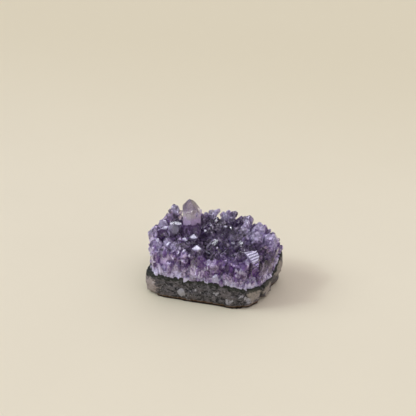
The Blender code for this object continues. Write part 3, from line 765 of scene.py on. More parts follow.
def clear_quartz():
    """The tall point: almost colourless, with a smoky end, a cream band of painted light where light shining through
    brightens it, a lilac root.
    """
    finish = Finish("clear_quartz")
    local = finish.attribute("local", "Vector")
    veils = finish.where.noise(0.42, 5.0, 0.7, 1.5)
    depth = -local.axis("Z") + veils.ramp(0.3, 0.7, -2.0, 2.0)
    # Painted light: the middle band is cream and less see-through, so it looks lit from within.
    body = layered(mixed(depth.ramp(5.0, 8.0), SMOKY_END, PAINTED_LIGHT_BAND), (depth.ramp(8.5, 12.5), LILAC_ROOT))
    clear = 0.82 - veils.ramp(0.5, 0.7, 0.0, 0.4) - depth.ramp(5.0, 8.0, 0.0, 0.4) - depth.ramp(8.0, 15.0, 0.0, 0.3)
    steps = local.stretched((0.3, 0.3, 2.0)).noise(1.0, 3.0, 0.6)
    finish.absorb(CLEAR_TINT, 35.0)
    return finish.wired(Base_Color=body, Transmission_Weight=clear.clipped(), IOR=QUARTZ_IOR,
                        Roughness=veils.ramp(0.4, 0.7, 0.03, 0.2), Normal=bump(steps, 0.10, 0.6))


def fractured_quartz(colours, name="fractured_quartz", milkiness=0.0):
    """The crust's broken side: white against the rock, then lilac and purple in growth zones, with white cracks."""
    finish = Finish(name)
    where, pale = finish.where, finish.attribute("pale")
    streaks = finish.place(1.0, 1.0, 0.4).noise(0.42, 5.0, 0.68, 0.6)
    grain = where.noise(1.3, 4.0, 0.7)
    zone = colour_zone(where)
    bands = growth(finish.attribute("local", "Vector")) + streaks * 5.0
    banding = Field(put(finish.tree, "ShaderNodeCombineXYZ", {0: bands, 1: pale})).noise(0.45, 2.0, 0.6)
    share = (zone + (pale - 0.5) * 0.5 + banding.ramp(0.35, 0.65, -0.4, 0.4)).clipped()
    tilt, cell, cracks = facets(where, 2.2, 1.8)
    white = cell.ramp(0.55, 0.95, 0.0, 0.75) * zone.ramp(0.0, 0.5, 0.3, 1.0)
    low = (finish.attribute("above") + streaks * 8.0).ramp(7.5, 4.0, milkiness, 0.8) * zone.ramp(0.15, 0.6, 0.4, 1.0)
    body = layered(
        mixed(share, colours.heart, colours.lilac),
        (where.noise(0.2, 2.0, 0.5, 0.8).ramp(0.54, 0.68, 0.0, 0.25), RUST),
        (soft_spot(where, *WARM_SPOT) * 0.7, colours.warm),
        (cell.ramp(0.40, 0.05, 0.0, 0.8), colours.heart),
        (white, colours.milky_and_highlight),
        (cracks * streaks.ramp(0.42, 0.6, 0.0, 0.45), colours.milky_and_highlight),
        (low, colours.milky_and_highlight),
    )
    clear = 0.8 - low * 0.45 - white * 0.5 - share.ramp(0.4, 1.0, 0.0, 0.35)
    clear = clear - zone.ramp(0.35, 0.0, 0.0, 0.25) - streaks.ramp(0.45, 0.7, 0.0, 0.35)
    finish.absorb(colours.tint, colours.density)
    return finish.wired(Base_Color=body, Transmission_Weight=clear.clipped(), Roughness=grain.ramp(0.3, 0.7, 0.05, 0.3),
                        IOR=QUARTZ_IOR, Normal=bump(grain, 0.08, 0.4, bump(tilt, 1.0)))


def massive_quartz(colours):
    """The quartz behind and under the crystals: cloudy right through, and seen mostly by looking into them. Where its
    colour is deep it is darkened further as painted shade, so the gaps between the points read dark.
    """
    finish = Finish("massive_quartz")
    streaks = finish.place(1.0, 1.0, 0.4).noise(0.5, 5.0, 0.68, 0.6)
    grain = finish.where.noise(1.6, 4.0, 0.7)
    zone = colour_zone(finish.where, 0.4)
    # Deep purple that is also painted shade for the gaps, pushed towards it where the colour is deep.
    body = layered(
        mixed(zone.maths("POWER", 2.0), colours.gap_shade, colours.lilac),
        (streaks.ramp(0.5, 0.72, 0.0, 0.5) * zone, colours.milky_and_highlight),
        ((finish.attribute("above") + streaks * 7.0).ramp(10.0, 5.0, 0.0, 0.75), colours.milky_and_highlight),
    )
    return finish.wired(Base_Color=body, Roughness=grain.ramp(0.3, 0.7, 0.25, 0.6), IOR=QUARTZ_IOR,
                        Normal=bump(grain, 0.15, 0.7))


def basalt(colours):
    """Dark host rock: mottled grey-green, darker under the quartz, tan where weathered, brown at its foot, partly its
    skin and partly painted shadow, and near black at its very foot, which is painted shadow under its lifted edge."""
    finish = Finish("basalt")
    where = finish.where
    height = where.axis("Z")
    broad = finish.place(0.6, 1.0, 1.3).noise(0.16, 4.0, 0.6, 0.6)
    mottle = finish.place(0.8, 1.0, 1.1).noise(0.55, 5.0, 0.75, 0.7)
    patches = finish.place(0.8, 1.0, 1.2).noise(0.30, 5.0, 0.7, 0.5)
    grain = where.noise(1.7, 4.0, 0.75)
    cells = put(finish.tree, "ShaderNodeTexVoronoi", {"Vector": where, "Scale": 0.5, "Randomness": 1.0})
    wobble = 7.0
    warped = where.vector("ADD", where.noise(0.30, 4.0, output="Color").scaled(wobble))
    shift = Vector((wobble / 2,) * 3)
    tan_share = largest(soft_spot(warped, Vector(c) + shift, r * 1.15, 0.3) for c, r in WEATHERED)
    tan_share = (tan_share - patches.ramp(0.38, 0.60, 0.0, 0.7)).ramp(0.0, 0.2)
    weathered = mixed(grain.ramp(0.4, 0.65), colours.rock_tan, PALE_TAN)
    weathered = mixed(where.axis("X").ramp(5.0, 25.0, 0.0, 0.7), weathered, GREEN_TAN)
    rim = mottle.ramp(0.3, 0.7, -1.2, 1.2) - finish.attribute("above")
    lumps = largest(soft_spot(warped, Vector(c) + shift, r, 0.7) for c, r in INCLUSIONS)
    body = layered(
        mixed(mottle.ramp(0.42, 0.60), colours.rock_dark, colours.rock_grey),
        (patches.ramp(0.52, 0.62, 0.0, 0.8), (0.17, 0.155, 0.155)),
        (broad.ramp(0.50, 0.62, 0.0, 0.5), (0.15, 0.135, 0.125)),
        (grain.ramp(0.55, 0.72, 0.0, 0.65), (0.27, 0.26, 0.25)),
        (Field(cells, "Distance").ramp(0.20, 0.10, 0.0, 0.9), (0.36, 0.35, 0.34)),
        (tan_share * mottle.ramp(0.34, 0.56, 0.55, 1.0), weathered),
        (rim.ramp(3.4, 1.6, 0.0, 0.85), colours.rock_green),
        (lumps * 0.9, (0.40, 0.40, 0.41)),
        # Brown band at the foot, partly the rock's skin and partly painted shadow; then a near-black line that is
        # painted shadow under the rock's lifted edge.
        ((height + mottle * 1.8).ramp(3.4, 2.2), (0.17, 0.10, 0.045)),
        ((height + mottle * 1.6).ramp(2.5, 1.9), (0.016, 0.009, 0.004)),
    )
    return finish.wired(Base_Color=body, Roughness=mottle.ramp(0.3, 0.7, 0.9, 0.55), Specular_IOR_Level=0.2,
                        Normal=bump(grain, 0.22, 0.8, bump(mottle, 0.4, 0.5)))


def paper(colours):
    """The studio's floor: matt paper in faint soft blotches, with painted shade that makes it a little darker and
    warmer far behind the piece.
    """
    finish = Finish("paper")
    floor = colours.floor
    blotched, far_shade = (tuple(a * b for a, b in zip(floor, share)) for share in ((0.985,) * 3, (0.90, 0.885, 0.83)))
    body = mixed(finish.where.noise(0.01, 4.0).ramp(0.3, 0.7), floor, blotched)
    # Painted shade: a little darker and warmer far behind the piece.
    body = mixed(finish.where.axis("Y").ramp(20.0, 420.0), body, far_shade)
    tooth = finish.where.noise(1.2, 3.0, 0.6)
    return finish.wired(Base_Color=body, Roughness=0.9, Normal=bump(tooth, 0.05, 0.3))


# ---------------------------------------------------------------- geometry nodes
FULL_TURN = 6.283


def geometry_tree(name, values, **others):
    """An empty geometry tree with named inputs, values with their defaults and others with their kinds, and a
    function that gives an input's field."""
    tree = bpy.data.node_groups.new(name, "GeometryNodeTree")
    for way in ("INPUT", "OUTPUT"):
        tree.interface.new_socket(name="Geometry", in_out=way, socket_type="NodeSocketGeometry")
    for label, default in values.items():
        tree.interface.new_socket(name=label, in_out="INPUT", socket_type="NodeSocketFloat").default_value = default
    for label, kind in others.items():
        tree.interface.new_socket(name=label, in_out="INPUT", socket_type=f"NodeSocket{kind}")
    start = tree.nodes.new("NodeGroupInput")
    return tree, lambda label: Field(start, label)


def finished_tree(tree, geometry, material):
    """The tree with its end: real geometry, in its material."""
    realized = put(tree, "GeometryNodeRealizeInstances", {0: geometry})
    painted = put(tree, "GeometryNodeSetMaterial", {"Geometry": realized, "Material": material})
    feed(tree.nodes.new("NodeGroupOutput").inputs[0], painted)
    return tree


def add_geometry_modifier(obj, tree, values):
    """Adds the tree to an object, with its inputs set by their identifiers."""
    step = obj.modifiers.new(tree.name, "NODES")
    step.node_group = tree
    for item in tree.interface.items_tree:
        if item.in_out == "INPUT" and item.name in values:
            step[item.identifier] = values[item.name]


def roughen_tree():
    """Moves a dense mesh along its normals: soft swells, then flat tilted chips, then grain. Keeps a flat foot."""
    tree, given = geometry_tree(
        "roughen",
        {"Swell": 0.5, "Swell Size": 12.0, "Chip": 0.5, "Chip Size": 4.0, "Chip Stretch": 1.0, "Tilt": 0.3,
         "Grain": 0.1, "Grain Size": 1.2, "Foot": -1.0},
        Material="Material",
    )
    mm = Field(tree.nodes.new("GeometryNodeInputPosition")).vector("MULTIPLY", (1 / MM,) * 3)
    upright = put(tree, "ShaderNodeCombineXYZ", {0: 1.0, 1: 1.0, 2: given("Chip Stretch")})
    lean, chance = tilted_cells(mm.vector("MULTIPLY", upright), 1.0 / given("Chip Size"))
    offset = lean * given("Tilt") + chance.axis("X") * given("Chip")
    for amount in ("Swell", "Grain"):
        wave = mm.noise(1.0 / given(f"{amount} Size"), 3.0, 0.6) - 0.5
        offset = offset + wave * given(amount)
    fade = (mm.axis("Z") - given("Foot")).ramp(0.0, 1.5, shape="LINEAR")
    shift = Field(tree.nodes.new("GeometryNodeInputNormal")).scaled(offset * fade * MM)
    moved = put(tree, "GeometryNodeSetPosition", {"Geometry": given("Geometry"), "Offset": shift})
    return finished_tree(tree, moved, given("Material"))


def scatter_tree():
    """Scatters shapes from a collection over a surface, between two slopes and in patches, each with a paleness."""
    tree, given = geometry_tree(
        "scatter",
        {"Density": 1.0, "Smallest": 0.5, "Largest": 1.0, "Upright": 0.0, "Tilt": 0.4, "Least Slope": -1.0,
         "Most Slope": 1.0, "Patch Size": 6.0, "Patch Gaps": 0.0, "Paleness": 1.0},
        Shapes="Collection", Seed="Int", Material="Material",
    )

    def chance(low, high, kind="FLOAT"):
        """A chance value for each point; low and high are an input's number and what feeds it."""
        inputs = {low[0]: low[1], high[0]: high[1], "Seed": given("Seed")}
        return Field(put(tree, "FunctionNodeRandomValue", inputs, data_type=kind), 1 if kind == "FLOAT" else 0)

    slope = Field(tree.nodes.new("GeometryNodeInputNormal")).axis("Z")
    high = put(tree, "FunctionNodeCompare", {0: slope, 1: given("Least Slope")}, operation="GREATER_THAN")
    low = put(tree, "FunctionNodeCompare", {0: slope, 1: given("Most Slope")}, operation="LESS_THAN")
    chosen = put(tree, "FunctionNodeBooleanMath", {0: high, 1: low}, operation="AND")
    where = Field(tree.nodes.new("GeometryNodeInputPosition"))
    patches = where.noise((1 / MM) / given("Patch Size"), 2.0)
    gaps = patches.ramp(0.55, 0.42, shape="LINEAR") * given("Patch Gaps")
    density = (1.0 - gaps) * given("Density") * (1 / MM**2)
    spread = put(
        tree, "GeometryNodeDistributePointsOnFaces",
        {"Mesh": given("Geometry"), "Selection": chosen, "Density": density, "Seed": given("Seed")},
    )
    inputs = {"Factor": given("Upright"), 4: Field(spread, "Normal"), 5: (0.0, 0.0, 1.0)}
    up = Field(put(tree, "ShaderNodeMix", inputs, data_type="VECTOR"), 1)
    stand = put(tree, "FunctionNodeAlignRotationToVector", {"Vector": up}, axis="Z")
    tilt = given("Tilt")
    least = put(tree, "ShaderNodeCombineXYZ", {0: -tilt, 1: -tilt, 2: 0.0})
    most = put(tree, "ShaderNodeCombineXYZ", {0: tilt, 1: tilt, 2: FULL_TURN})
    turn = put(tree, "FunctionNodeEulerToRotation", {0: chance((0, least), (1, most), "FLOAT_VECTOR")})
    turned = put(tree, "FunctionNodeRotateRotation", {0: stand, 1: turn}, rotation_space="LOCAL")
    shapes = put(
        tree, "GeometryNodeCollectionInfo",
        {"Collection": given("Shapes"), "Separate Children": True, "Reset Children": True},
    )
    grown = put(
        tree, "GeometryNodeInstanceOnPoints",
        {"Points": Field(spread, "Points"), "Instance": shapes, "Pick Instance": True, "Rotation": turned,
         "Scale": chance((2, given("Smallest")), (3, given("Largest")))},
    )
    inputs = {"Geometry": grown, "Name": "pale", "Value": chance((2, 0.0), (3, given("Paleness")))}
    marked = put(tree, "GeometryNodeStoreNamedAttribute", inputs, data_type="FLOAT", domain="INSTANCE")
    return finished_tree(tree, marked, given("Material"))


# ---------------------------------------------------------------- settings
def colour(name, default, description):
    return FloatVectorProperty(
        name=name, description=description, subtype="COLOR", size=3, min=0, max=1, default=default
    )


class ClusterColours(bpy.types.PropertyGroup):
    """The colours of the stone and of the studio's floor."""

    deep: colour("Deep purple", (0.52, 0.40, 0.63), "Points where the colour is strongest")
    heart: colour("Heart purple", (0.20, 0.075, 0.36), "Broken quartz where the colour is strongest")
    warm: colour("Warm", (0.48, 0.31, 0.26), "The brownish point on the right shoulder")
    ink: colour("Ink purple", (0.07, 0.015, 0.12), "The few darkest points")
    dusk: colour("Dusk purple", (0.20, 0.15, 0.27), "The cloudy roots of points where the colour is strongest")
    # Deep purple that also serves as painted shade: it darkens the quartz seen in the gaps between the points.
    gap_shade: colour("Shade purple", (0.13, 0.085, 0.18), "The quartz between the points, where the colour is strongest")
    lilac: colour("Lilac", (0.86, 0.73, 1.0), "Quartz where the colour is weak")
    smoky: colour("Smoky", (0.80, 0.785, 0.79), "Points with a grey cast")
    # Milky also gives the white that frost lays on lit flat ends, where it is painted highlight.
    milky_and_highlight: colour("Milky", (0.64, 0.635, 0.80), "Quartz against the rock, and its veils")
    tint: colour("Tint", (0.52, 0.34, 0.70), "What is left of white light on its way through a point")
    density: FloatProperty(name="Tint density", description="Strength of the tint, per metre", default=90, min=0)
    rock_dark: colour("Dark rock", (0.011, 0.012, 0.012), "The basalt's groundmass")
    rock_grey: colour("Grey rock", (0.143, 0.138, 0.138), "The basalt's paler grains")
    rock_green: colour("Green rock", (0.022, 0.028, 0.020), "The rim under the quartz")
    rock_tan: colour("Weathered rock", (0.32, 0.272, 0.245), "Weathered skin and patches")
    floor: colour("Floor", (0.735, 0.70, 0.505), "The studio's floor")


class ClusterSettings(bpy.types.PropertyGroup):
    """Sizes that a user would change."""

    rock_voxel: FloatProperty(
        name="Rock fineness", description="Edge of the rock's smallest facets, in millimetres", default=0.6, min=0.3
    )
    edge_flat: FloatProperty(
        name="Edge flats", description="Width of the flats on the crystals' edges, in millimetres", default=0.17, min=0
    )
    seed: IntProperty(name="Seed", description="Seed of what is scattered", default=7)
    colours: PointerProperty(type=ClusterColours)


def settings():
    return bpy.context.scene.amethyst_cluster


# ---------------------------------------------------------------- operators
def roughened(obj, values):
    """The object in even facets, with its surface roughened by the values given."""
    remesh = obj.modifiers.new("even facets", "REMESH")
    remesh.mode = "VOXEL"
    remesh.voxel_size = settings().rock_voxel * MM
    add_geometry_modifier(obj, roughen_tree(), values)
    return baked(obj)


class CLUSTER_OT_rock(bpy.types.Operator):
    """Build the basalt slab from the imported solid, with chips and grain"""

    bl_idname = "cluster.rock"
    bl_label = "Host rock"

    def execute(self, context):
        bm = bmesh.new()
        bm.from_mesh(frame["nodes"]["basalt_matrix"].data)
        bmesh.ops.remove_doubles(bm, verts=bm.verts, dist=0.00001)
        rock = roughened(
            object_from_bmesh("host_rock", bm, 1.0),
            {"Swell": 0.6, "Swell Size": 9.0, "Chip": 0.5, "Chip Size": 4.0, "Tilt": 0.16, "Grain": 0.4,
             "Grain Size": 1.3, "Foot": 0.0, "Material": basalt(settings().colours)},
        )
        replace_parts(dressed(rock), "basalt_matrix")
        return {"FINISHED"}


class CLUSTER_OT_quartz(bpy.types.Operator):
    """Build the massive quartz that fills the crust"""

    bl_idname = "cluster.quartz"
    bl_label = "Massive quartz"

    def execute(self, context):
        body = roughened(
            object_from_bmesh("massive_quartz", crust_body(0.04, 0.11, 0.8)),
            {"Swell": 1.0, "Swell Size": 8.0, "Chip": 1.6, "Chip Size": 2.6, "Chip Stretch": 0.6, "Tilt": 0.5,
             "Grain": 0.2, "Grain Size": 1.0, "Foot": -50.0, "Material": massive_quartz(settings().colours)},
        )
        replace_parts(dressed(body), "amethyst_crust")
        return {"FINISHED"}


def crust_edge(inset):
    """The crust's edge in each direction, as a share of the plan, drawn in by an inset."""
    return lambda angle: crust_share(angle) - inset


def over_bed(rise):
    return lambda x, y: bed_with_skin(x, y) + rise


def crust_body(side_inset, shoulder_inset, drop):
    """The massive quartz under the points, reaching a little into the rock."""

    def top(x, y):
        return tip_height(x, y) - CRUST_BELOW_TIPS - drop

    foot = crust_edge(0.02)
    rings = [
        level(0.8, lambda x, y: bed_height(x, y) - 2),
        level(foot, over_bed(-0.6)),
        level(foot, over_bed(0.8), 0.6, 4.0),
        level(crust_edge(side_inset), lambda x, y: 0.7 * bed_with_skin(x, y) + 0.3 * top(x, y), 1.6, 5.0),
        level(crust_edge(shoulder_inset), top),
        level(0.6, top),
        level(0.3, top),
    ]
    return lofted(rings, (0, 0, top(0, 0)), (0, 0, bed_height(0, 0) - 2))


def trimmed(bm, place, x, y):
    """Cuts a crystal, in its own axes, off at the rock's bed and at the crust's outer face."""
    angle = math.atan2(y, x)
    edge = plan_point(angle) * (crust_share(angle) + COLUMN_ALLOWANCE)
    back = place.inverted()
    turn = back.to_3x3()
    cut_flat(bm, back @ Vector((x, y, bed_with_skin(x, y) + BED_CLEARANCE)), turn @ Vector((0, 0, -1)))
    cut_flat(bm, back @ Vector((edge.x, edge.y, 0)), turn @ Vector((edge.x, edge.y, 0)).normalized())
    return bm


def broken_blocks(c, shape, rng):
    """A crystal of the broken side, snapped across into blocks that are each split open on the outward side."""
    out = Vector((c.tip[0], c.tip[1], 0)).normalized()
    out = Matrix.Rotation(-math.radians(c.turn), 3, "Z") @ out
    top = 0.4
    while top > -c.length:
        height = rng.uniform(4.5, 15.0)
        block = shape.copy()
        for at, way in ((top + 0.4, 1), (top - height - 0.4, -1)):
            slant = Vector((rng.uniform(-0.6, 0.6), rng.uniform(-0.6, 0.6), way)).normalized()
            cut_flat(block, Vector((0, 0, at)), slant)
        for _ in range(rng.choice((1, 2))):
            split = Matrix.Rotation(math.radians(rng.uniform(-34, 34)), 3, "Z") @ out
            split.z = rng.uniform(-0.22, 0.35)
            split.normalize()
            cut_flat(block, Vector((0, 0, top - height / 2)) + split * c.radius * rng.uniform(0.3, 0.9), split)
        top -= height
        if len(block.verts) > 4:
            yield block
        else:
            block.free()


def offshoots(c, rng):
    """Smaller crystals on a large one: most stand parallel to it on its end and sides, and a few lean away."""
    count = int(c.radius * rng.uniform(0.7, 1.3)) + (4 if c.name in SLIMMER else 0)
    for _ in range(count):
        radius = c.radius * rng.uniform(0.2, 0.48)
        away = c.radius * rng.uniform(0.4, 1.0)
        angle = rng.uniform(0, 2 * math.pi)
        down = away * math.tan(PYRAMID_SLOPE) * 0.93 + (rng.uniform(0, c.radius * 1.6) if away > c.radius * 0.8 else 0)
        tip = Vector((away * math.cos(angle), away * math.sin(angle), radius * rng.uniform(0.2, 0.9) - down))
        lean = (rng.gauss(0, 22), rng.gauss(0, 22)) if rng.random() < 0.3 else (0, 0)
        yield tip, radius, radius * rng.uniform(2.6, 4.0), lean


def flat_ended(corners, length, rise=0.0):
    """An upright crystal with one slanting flat end of the corners given, in world axes about its first corner, and
    the end's direction. Its sides have a row of points just under the end; rise lifts the end along its direction."""
    start = Vector(corners[0])
    ring = [Vector(corner) - start for corner in corners]
    normal = geometry.normal(ring)
    if normal.z < 0:
        normal = -normal
    bm = bmesh.new()
    rows = []
    for down in (0.0, min(1.4, length * 0.5), length):
        flat = [corner - normal * (corner.dot(normal) - rise) for corner in ring]
        rows.append([bm.verts.new(corner - Vector((0, 0, down))) for corner in flat])
    bm.faces.new(rows[0])
    bm.faces.new(rows[-1][::-1])
    for high, low in zip(rows, rows[1:]):
        for i, j in neighbours(len(ring)):
            bm.faces.new((high[i], low[i], low[j], high[j]))
    bmesh.ops.recalc_face_normals(bm, faces=bm.faces)
    return bm, Matrix.Translation(start), normal


def growth_ledges(corners, pitch=1.85, height=0.5, flat=0.5):
    """The bars across the striped point's end, between grooves with sloping sides; flat is the share of flat top."""
    ring = [Vector(corner) - Vector(corners[0]) for corner in corners]
    _, _, normal = flat_ended(corners, 1.0)
    along = Matrix.Rotation(math.radians(11), 3, normal) @ ring[1].normalized()
    across = normal.cross(along).normalized()
    middle = sum(ring, Vector()) / len(ring)
    reach = [(corner - middle).dot(across) for corner in ring]
    lean = math.atan2(height, pitch * (1 - flat) / 2)
    at = min(reach) + pitch * 0.4
    while at < max(reach):
        bm, place, normal = flat_ended(corners, height + 0.8, height)
        for way in (1, -1):
            side = across * way * math.sin(lean) + normal * math.cos(lean)
            cut_flat(bm, middle + across * (at + way * pitch * flat / 2) + normal * height, side)
        if len(bm.verts) > 3:
            yield bm, place
        at += pitch


class CLUSTER_OT_points(bpy.types.Operator):
    """Grow the quartz points: the purple ones, the broken ones of the sides, the striped and the tall clear one"""

    bl_idname = "cluster.points"
    bl_label = "Quartz points"

    def execute(self, context):
        shapes, lots = random.Random(SEED + 1), random.Random(SEED + 2)
        flat = settings().edge_flat
        fine = flat * 0.6
        points, wall, clear, striped = (Pile() for _ in range(4))
        for c in crystal_list():
            shape = crystal(c.radius * SLIMMER.get(c.name, 1.0), c.length, c.broken, shapes)
            place = stance(c.tip, c.lean, c.turn + TURNED.get(c.name, 0))
            lot = (lots.random() ** 1.5, 0.5 * lots.random() ** 2.5)
            if c.name == "row":
                trimmed(shape, place, c.tip[0], c.tip[1])
                for block in broken_blocks(c, shape, lots):
                    wall.add(bevelled(block, flat), place, lots.random())
                shape.free()
                continue
            pale, smoke = FINISH.get(c.name, lot)
            pile = {CLEAR: clear, STRIPED: striped}.get(c.name, points)
            pile.add(bevelled(shape, flat), place, pale, smoke)
            if c.name == CLEAR or c.name in SMOOTH:
                continue
            for tip, radius, length, lean in offshoots(c, lots):
                end = place @ tip
                if share_of_plan(end.x, end.y) > OFFSHOOT_LIMIT:
                    continue
                small = bevelled(crystal(radius, length, False, lots), fine)
                around = lots.choice((0, 0, 0, lots.uniform(0, 60)))
                pile.add(small, place @ stance(tip, lean, around), min(pale + lots.uniform(-0.2, 0.5), 1), smoke)
        for tip, radius, lean in SLIM_POINTS:
            small = bevelled(crystal(radius, 8.0, False, lots), fine)
            place = stance(tip, lean, lots.uniform(0, 60))
            points.add(small, place, lots.uniform(0.4, 1.0), lots.uniform(0.1, 0.6))
        for (pale, smoke, frost), length, corners in FLAT_ENDS:
            bm, place, normal = flat_ended(corners, length)
            points.add(bevelled(bm, fine), place, pale, smoke, frost, normal)
        for centre, size in WHITE_LUMPS:
            lump = bevelled(shard(lots, size, lots.uniform(0.9, 1.3)), 0.1)
            points.add(lump, Matrix.Translation(centre), 1.0, 0.0, lots.uniform(0.6, 0.9))
        # The slab under the bars is kept fairly deep so the grooves between them read dark, partly painted shade; the
        # bars' frost paints part of their highlight white.
        bm, place, _ = flat_ended(STRIPED_END, 4.0)
        striped.add(bm, place, 0.2, 0.4)
        for bm, place in growth_ledges(STRIPED_END):
            striped.add(bm, place, 0.9, 0.0, 0.5)
        colours = settings().colours
        purple = amethyst(colours)
        for pile, name, material in (
            (points, "amethyst_points", purple), (wall, "wall_crystals", fractured_quartz(colours)),
            (striped, "striped_point", purple), (clear, "tall_clear_point", clear_quartz()),
        ):
            dressed(pile.build(name, material))
        return {"FINISHED"}


def shard(rng, size, stretch):
    """A small splinter of broken quartz: flat faces at chance angles, longer one way, its middle at the origin."""
    bm = bmesh.new()
    bmesh.ops.create_cube(bm, size=2)
    for _ in range(7):
        way = strayed(rng, 1, 1, 1).normalized()
        cut_flat(bm, way * rng.uniform(0.55, 0.95), way)
    bmesh.ops.dissolve_limit(bm, angle_limit=0.01, verts=bm.verts, edges=bm.edges)
    bmesh.ops.scale(bm, vec=(size, size * rng.uniform(0.5, 0.9), size * stretch), verts=bm.verts)
    bmesh.ops.recalc_face_normals(bm, faces=bm.faces)
    return bm


def shape_group(name, shapes):
    """A collection of small shapes to scatter, outside the scene."""
    group = bpy.data.collections.new(name)
    for i, bm in enumerate(shapes):
        pile = Pile()
        tip = top_of(bm)
        pile.add(lifted(bm, -tip), Matrix.Translation((0, 0, tip)), smoke=0.3)
        del pile.marks["pale"]
        shape = pile.build(f"{name}_{i}", None)
        bpy.context.scene.collection.objects.unlink(shape)
        group.objects.link(shape)
    return group


def young_crystals(rng, count, radius, length):
    for _ in range(count):
        yield lifted(crystal(radius * rng.uniform(0.7, 1), length * rng.uniform(0.7, 1), False, rng), length * 0.6)


def cleared(piece, spots):
    """Takes away the small crystals that have a corner in one of the spots."""
    bm = bmesh.new()
    bm.from_mesh(piece.data)
    reached = [v for v in bm.verts if any((v.co / MM - Vector(centre)).length < radius for centre, radius in spots)]
    found = set(reached)
    while reached:
        vert = reached.pop()
        for edge in vert.link_edges:
            other = edge.other_vert(vert)
            if other not in found:
                found.add(other)
                reached.append(other)
    bmesh.ops.delete(bm, geom=list(found), context="VERTS")
    bm.to_mesh(piece.data)
    bm.free()
    return piece


def contact_band():
    """A strip round the crust where the quartz meets the rock."""
    foot = crust_edge(0.008)
    rings = [
        level(0.9, over_bed(-1.0)),
        level(foot, over_bed(-0.2)),
        level(foot, over_bed(1.6), 0.5, 4.0),
        level(0.9, over_bed(3.4)),
    ]
    return lofted(rings, (0, 0, 24), (0, 0, 8))


def white_crystals(rng, material):
    """The larger white crystals against the rock: a few small clusters, each pointing up and out."""
    pile = Pile()
    for x, y, spread, count in WHITE_CLUSTERS:
        way = Vector((x, y)).normalized()
        bed = bed_with_skin(x, y)
        for _ in range(count):
            radius = rng.uniform(0.6, 1.5)
            at = Vector((x, y)) + strayed(rng, spread, spread * 0.4)
            if share_of_plan(at.x, at.y) > WHITE_LIMIT:
                at *= WHITE_LIMIT / share_of_plan(at.x, at.y)
            lean = way * rng.uniform(8, 36) + strayed(rng, 7, 7)
            tip = (at.x, at.y, bed + rng.uniform(1.2, 4.0))
            bm = bevelled(crystal(radius, rng.uniform(3.0, 5.0), False, rng), 0.08)
            pile.add(bm, stance(tip, lean, rng.uniform(0, 60)), rng.random())
    return pile.build("white_crystals", material)


class CLUSTER_OT_druse(bpy.types.Operator):
    """Scatter what is small: splinters on the broken sides, young points on top, white crystals against the rock"""

    bl_idname = "cluster.druse"
    bl_label = "Small crystals"

    def execute(self, context):
        tree = scatter_tree()
        colours = settings().colours
        rng = random.Random(SEED + 3)
        splinters = [shard(rng, 1.5, rng.uniform(1.1, 2.2)) for _ in range(8)]
        teeth = list(young_crystals(rng, 8, 1.7, 7.5))
        shards = shape_group("shards", splinters + teeth)
        young = shape_group("young", young_crystals(rng, 8, 1.2, 5.4))
        grains = shape_group("grains", [shard(rng, 1.0, rng.uniform(0.8, 1.5)) for _ in range(8)])
        broken = bpy.data.materials["fractured_quartz"]
        runs = [
            ("wall_shards", crust_body(0.015, 0.065, -0.6), shards, broken,
             {"Density": 0.20, "Smallest": 0.25, "Largest": 1.1, "Upright": 0.9, "Tilt": 0.4,
              "Least Slope": -0.5, "Most Slope": 0.8, "Patch Size": 6.0, "Patch Gaps": 0.95}),
            ("young_points", crust_body(0.06, 0.10, 0.0), young, bpy.data.materials["purple_quartz"],
             {"Density": 0.08, "Smallest": 0.5, "Largest": 1.4, "Upright": 0.3, "Tilt": 0.6,
              "Least Slope": 0.5, "Most Slope": 2.0, "Paleness": 0.4}),
            ("contact_quartz", contact_band(), grains, fractured_quartz(colours, "contact_quartz", 0.6),
             {"Density": 0.8, "Smallest": 0.2, "Largest": 0.85, "Upright": 0.4, "Tilt": 1.4,
              "Least Slope": -0.6, "Most Slope": 0.6, "Patch Size": 4.0, "Patch Gaps": 0.95}),
        ]
        for step, (name, surface, shapes, material, values) in enumerate(runs):
            if name == "young_points":
                bmesh.ops.subdivide_edges(surface, edges=surface.edges[:], cuts=3, use_grid_fill=True)
                deep = [f for f in surface.faces if any(
                    (f.calc_center_median() - Vector(c)).xy.length < r * 0.8 for c, r in DEEP_SPOTS)]
                bmesh.ops.delete(surface, geom=deep, context="FACES")
            carrier = object_from_bmesh(name, surface)
            values |= {"Shapes": shapes, "Seed": settings().seed + step, "Material": material}
            add_geometry_modifier(carrier, tree, values)
            dressed(cleared(baked(carrier), BARE_SPOTS))
        dressed(white_crystals(rng, bpy.data.materials["contact_quartz"]))
        for group in (shards, young, grains):
            for shape in list(group.objects):
                bpy.data.objects.remove(shape, do_unlink=True)
            bpy.data.collections.remove(group)
        return {"FINISHED"}


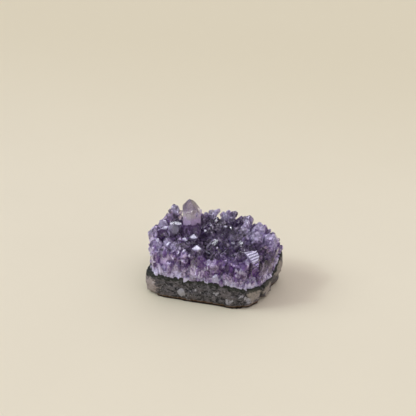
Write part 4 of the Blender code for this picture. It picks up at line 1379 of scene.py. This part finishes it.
class CLUSTER_OT_stage(bpy.types.Operator):
    """Set up the pale floor, the soft light and the camera"""

    bl_idname = "cluster.stage"
    bl_label = "Studio"

    def execute(self, context):
        floor = link("floor", bpy.data.meshes.new("floor"))
        corners = [(x * FLOOR_HALF, y * FLOOR_HALF, 0) for x, y in ((-1, -1), (1, -1), (1, 1), (-1, 1))]
        floor.data.from_pydata(corners, [], [(0, 1, 2, 3)])
        floor.data.materials.append(paper(settings().colours))
        self.camera(context.scene)
        self.light(context.scene)
        context.scene.view_settings.view_transform = "Standard"
        return {"FINISHED"}

    def camera(self, scene):
        turn, rise = math.radians(15.0), math.radians(31.0)
        picture, middle_pixel, mm_per_pixel = 416, (213.5, 256.0), 0.6
        data = bpy.data.cameras.new("camera")
        data.lens, data.sensor_width, data.clip_start = 100.0, 36.0, 0.01
        middle = Vector((0, 0, 18.0))
        away = mm_per_pixel * picture * data.lens / data.sensor_width
        back = Vector((math.sin(turn) * math.cos(rise), -math.cos(turn) * math.cos(rise), math.sin(rise)))
        right = Vector((math.cos(turn), math.sin(turn), 0))
        up = back.cross(right)
        place = middle + back * away
        aim = middle + right * (picture / 2 - middle_pixel[0]) * mm_per_pixel
        aim += up * (middle_pixel[1] - picture / 2) * mm_per_pixel
        scene.camera = link("camera", data)
        scene.camera.location = place * MM
        scene.camera.rotation_euler = (aim - place).to_track_quat("-Z", "Y").to_euler()

    def light(self, scene):
        world = scene.world = bpy.data.worlds.new("soft_room")
        world.use_nodes = True
        way = Field(put(world.node_tree, "ShaderNodeTexCoord"), "Generated")
        sky = mixed(way.axis("Z").ramp(0.0, 0.9), (0.50, 0.455, 0.51), (0.73, 0.66, 0.76))
        for direction, narrow, wide, light, blend in GLOWS:
            toward = way.vector("DOT_PRODUCT", Vector(direction).normalized())
            sky = mixed(toward.ramp(wide, narrow), sky, light, blend)
        background = world.node_tree.nodes["Background"]
        feed(background.inputs["Color"], sky)
        feed(background.inputs["Strength"], 1.0)
        data = bpy.data.lights.new("key", "SUN")
        data.energy, data.angle, data.color = 0.3, math.radians(3.0), (0.72, 0.87, 1.0)
        slant, turn = math.radians(48), math.radians(-68)
        link("key", data).rotation_euler = (slant, 0, turn)


class CLUSTER_PT_panel(bpy.types.Panel):
    """The buttons and settings in the sidebar"""

    bl_label = "Amethyst Cluster"
    bl_idname = "CLUSTER_PT_panel"
    bl_space_type = "VIEW_3D"
    bl_region_type = "UI"
    bl_category = "Amethyst"

    def draw(self, context):
        mine = context.scene.amethyst_cluster
        for key in ("rock_voxel", "edge_flat", "seed"):
            self.layout.prop(mine, key)
        for key in ClusterColours.__annotations__:
            self.layout.prop(mine.colours, key)
        for operator in OPERATORS:
            self.layout.operator(operator.bl_idname)


OPERATORS = (CLUSTER_OT_rock, CLUSTER_OT_quartz, CLUSTER_OT_points, CLUSTER_OT_druse, CLUSTER_OT_stage)
CLASSES = (ClusterColours, ClusterSettings, *OPERATORS, CLUSTER_PT_panel)


def register():
    for item in CLASSES:
        bpy.utils.register_class(item)
    bpy.types.Scene.amethyst_cluster = PointerProperty(type=ClusterSettings)


def unregister():
    del bpy.types.Scene.amethyst_cluster
    for item in reversed(CLASSES):
        bpy.utils.unregister_class(item)


def main():
    register()
    bpy.ops.cluster.rock()
    bpy.ops.cluster.quartz()
    bpy.ops.cluster.points()
    bpy.ops.cluster.druse()
    bpy.ops.cluster.stage()


if __name__ == "__main__":
    main()
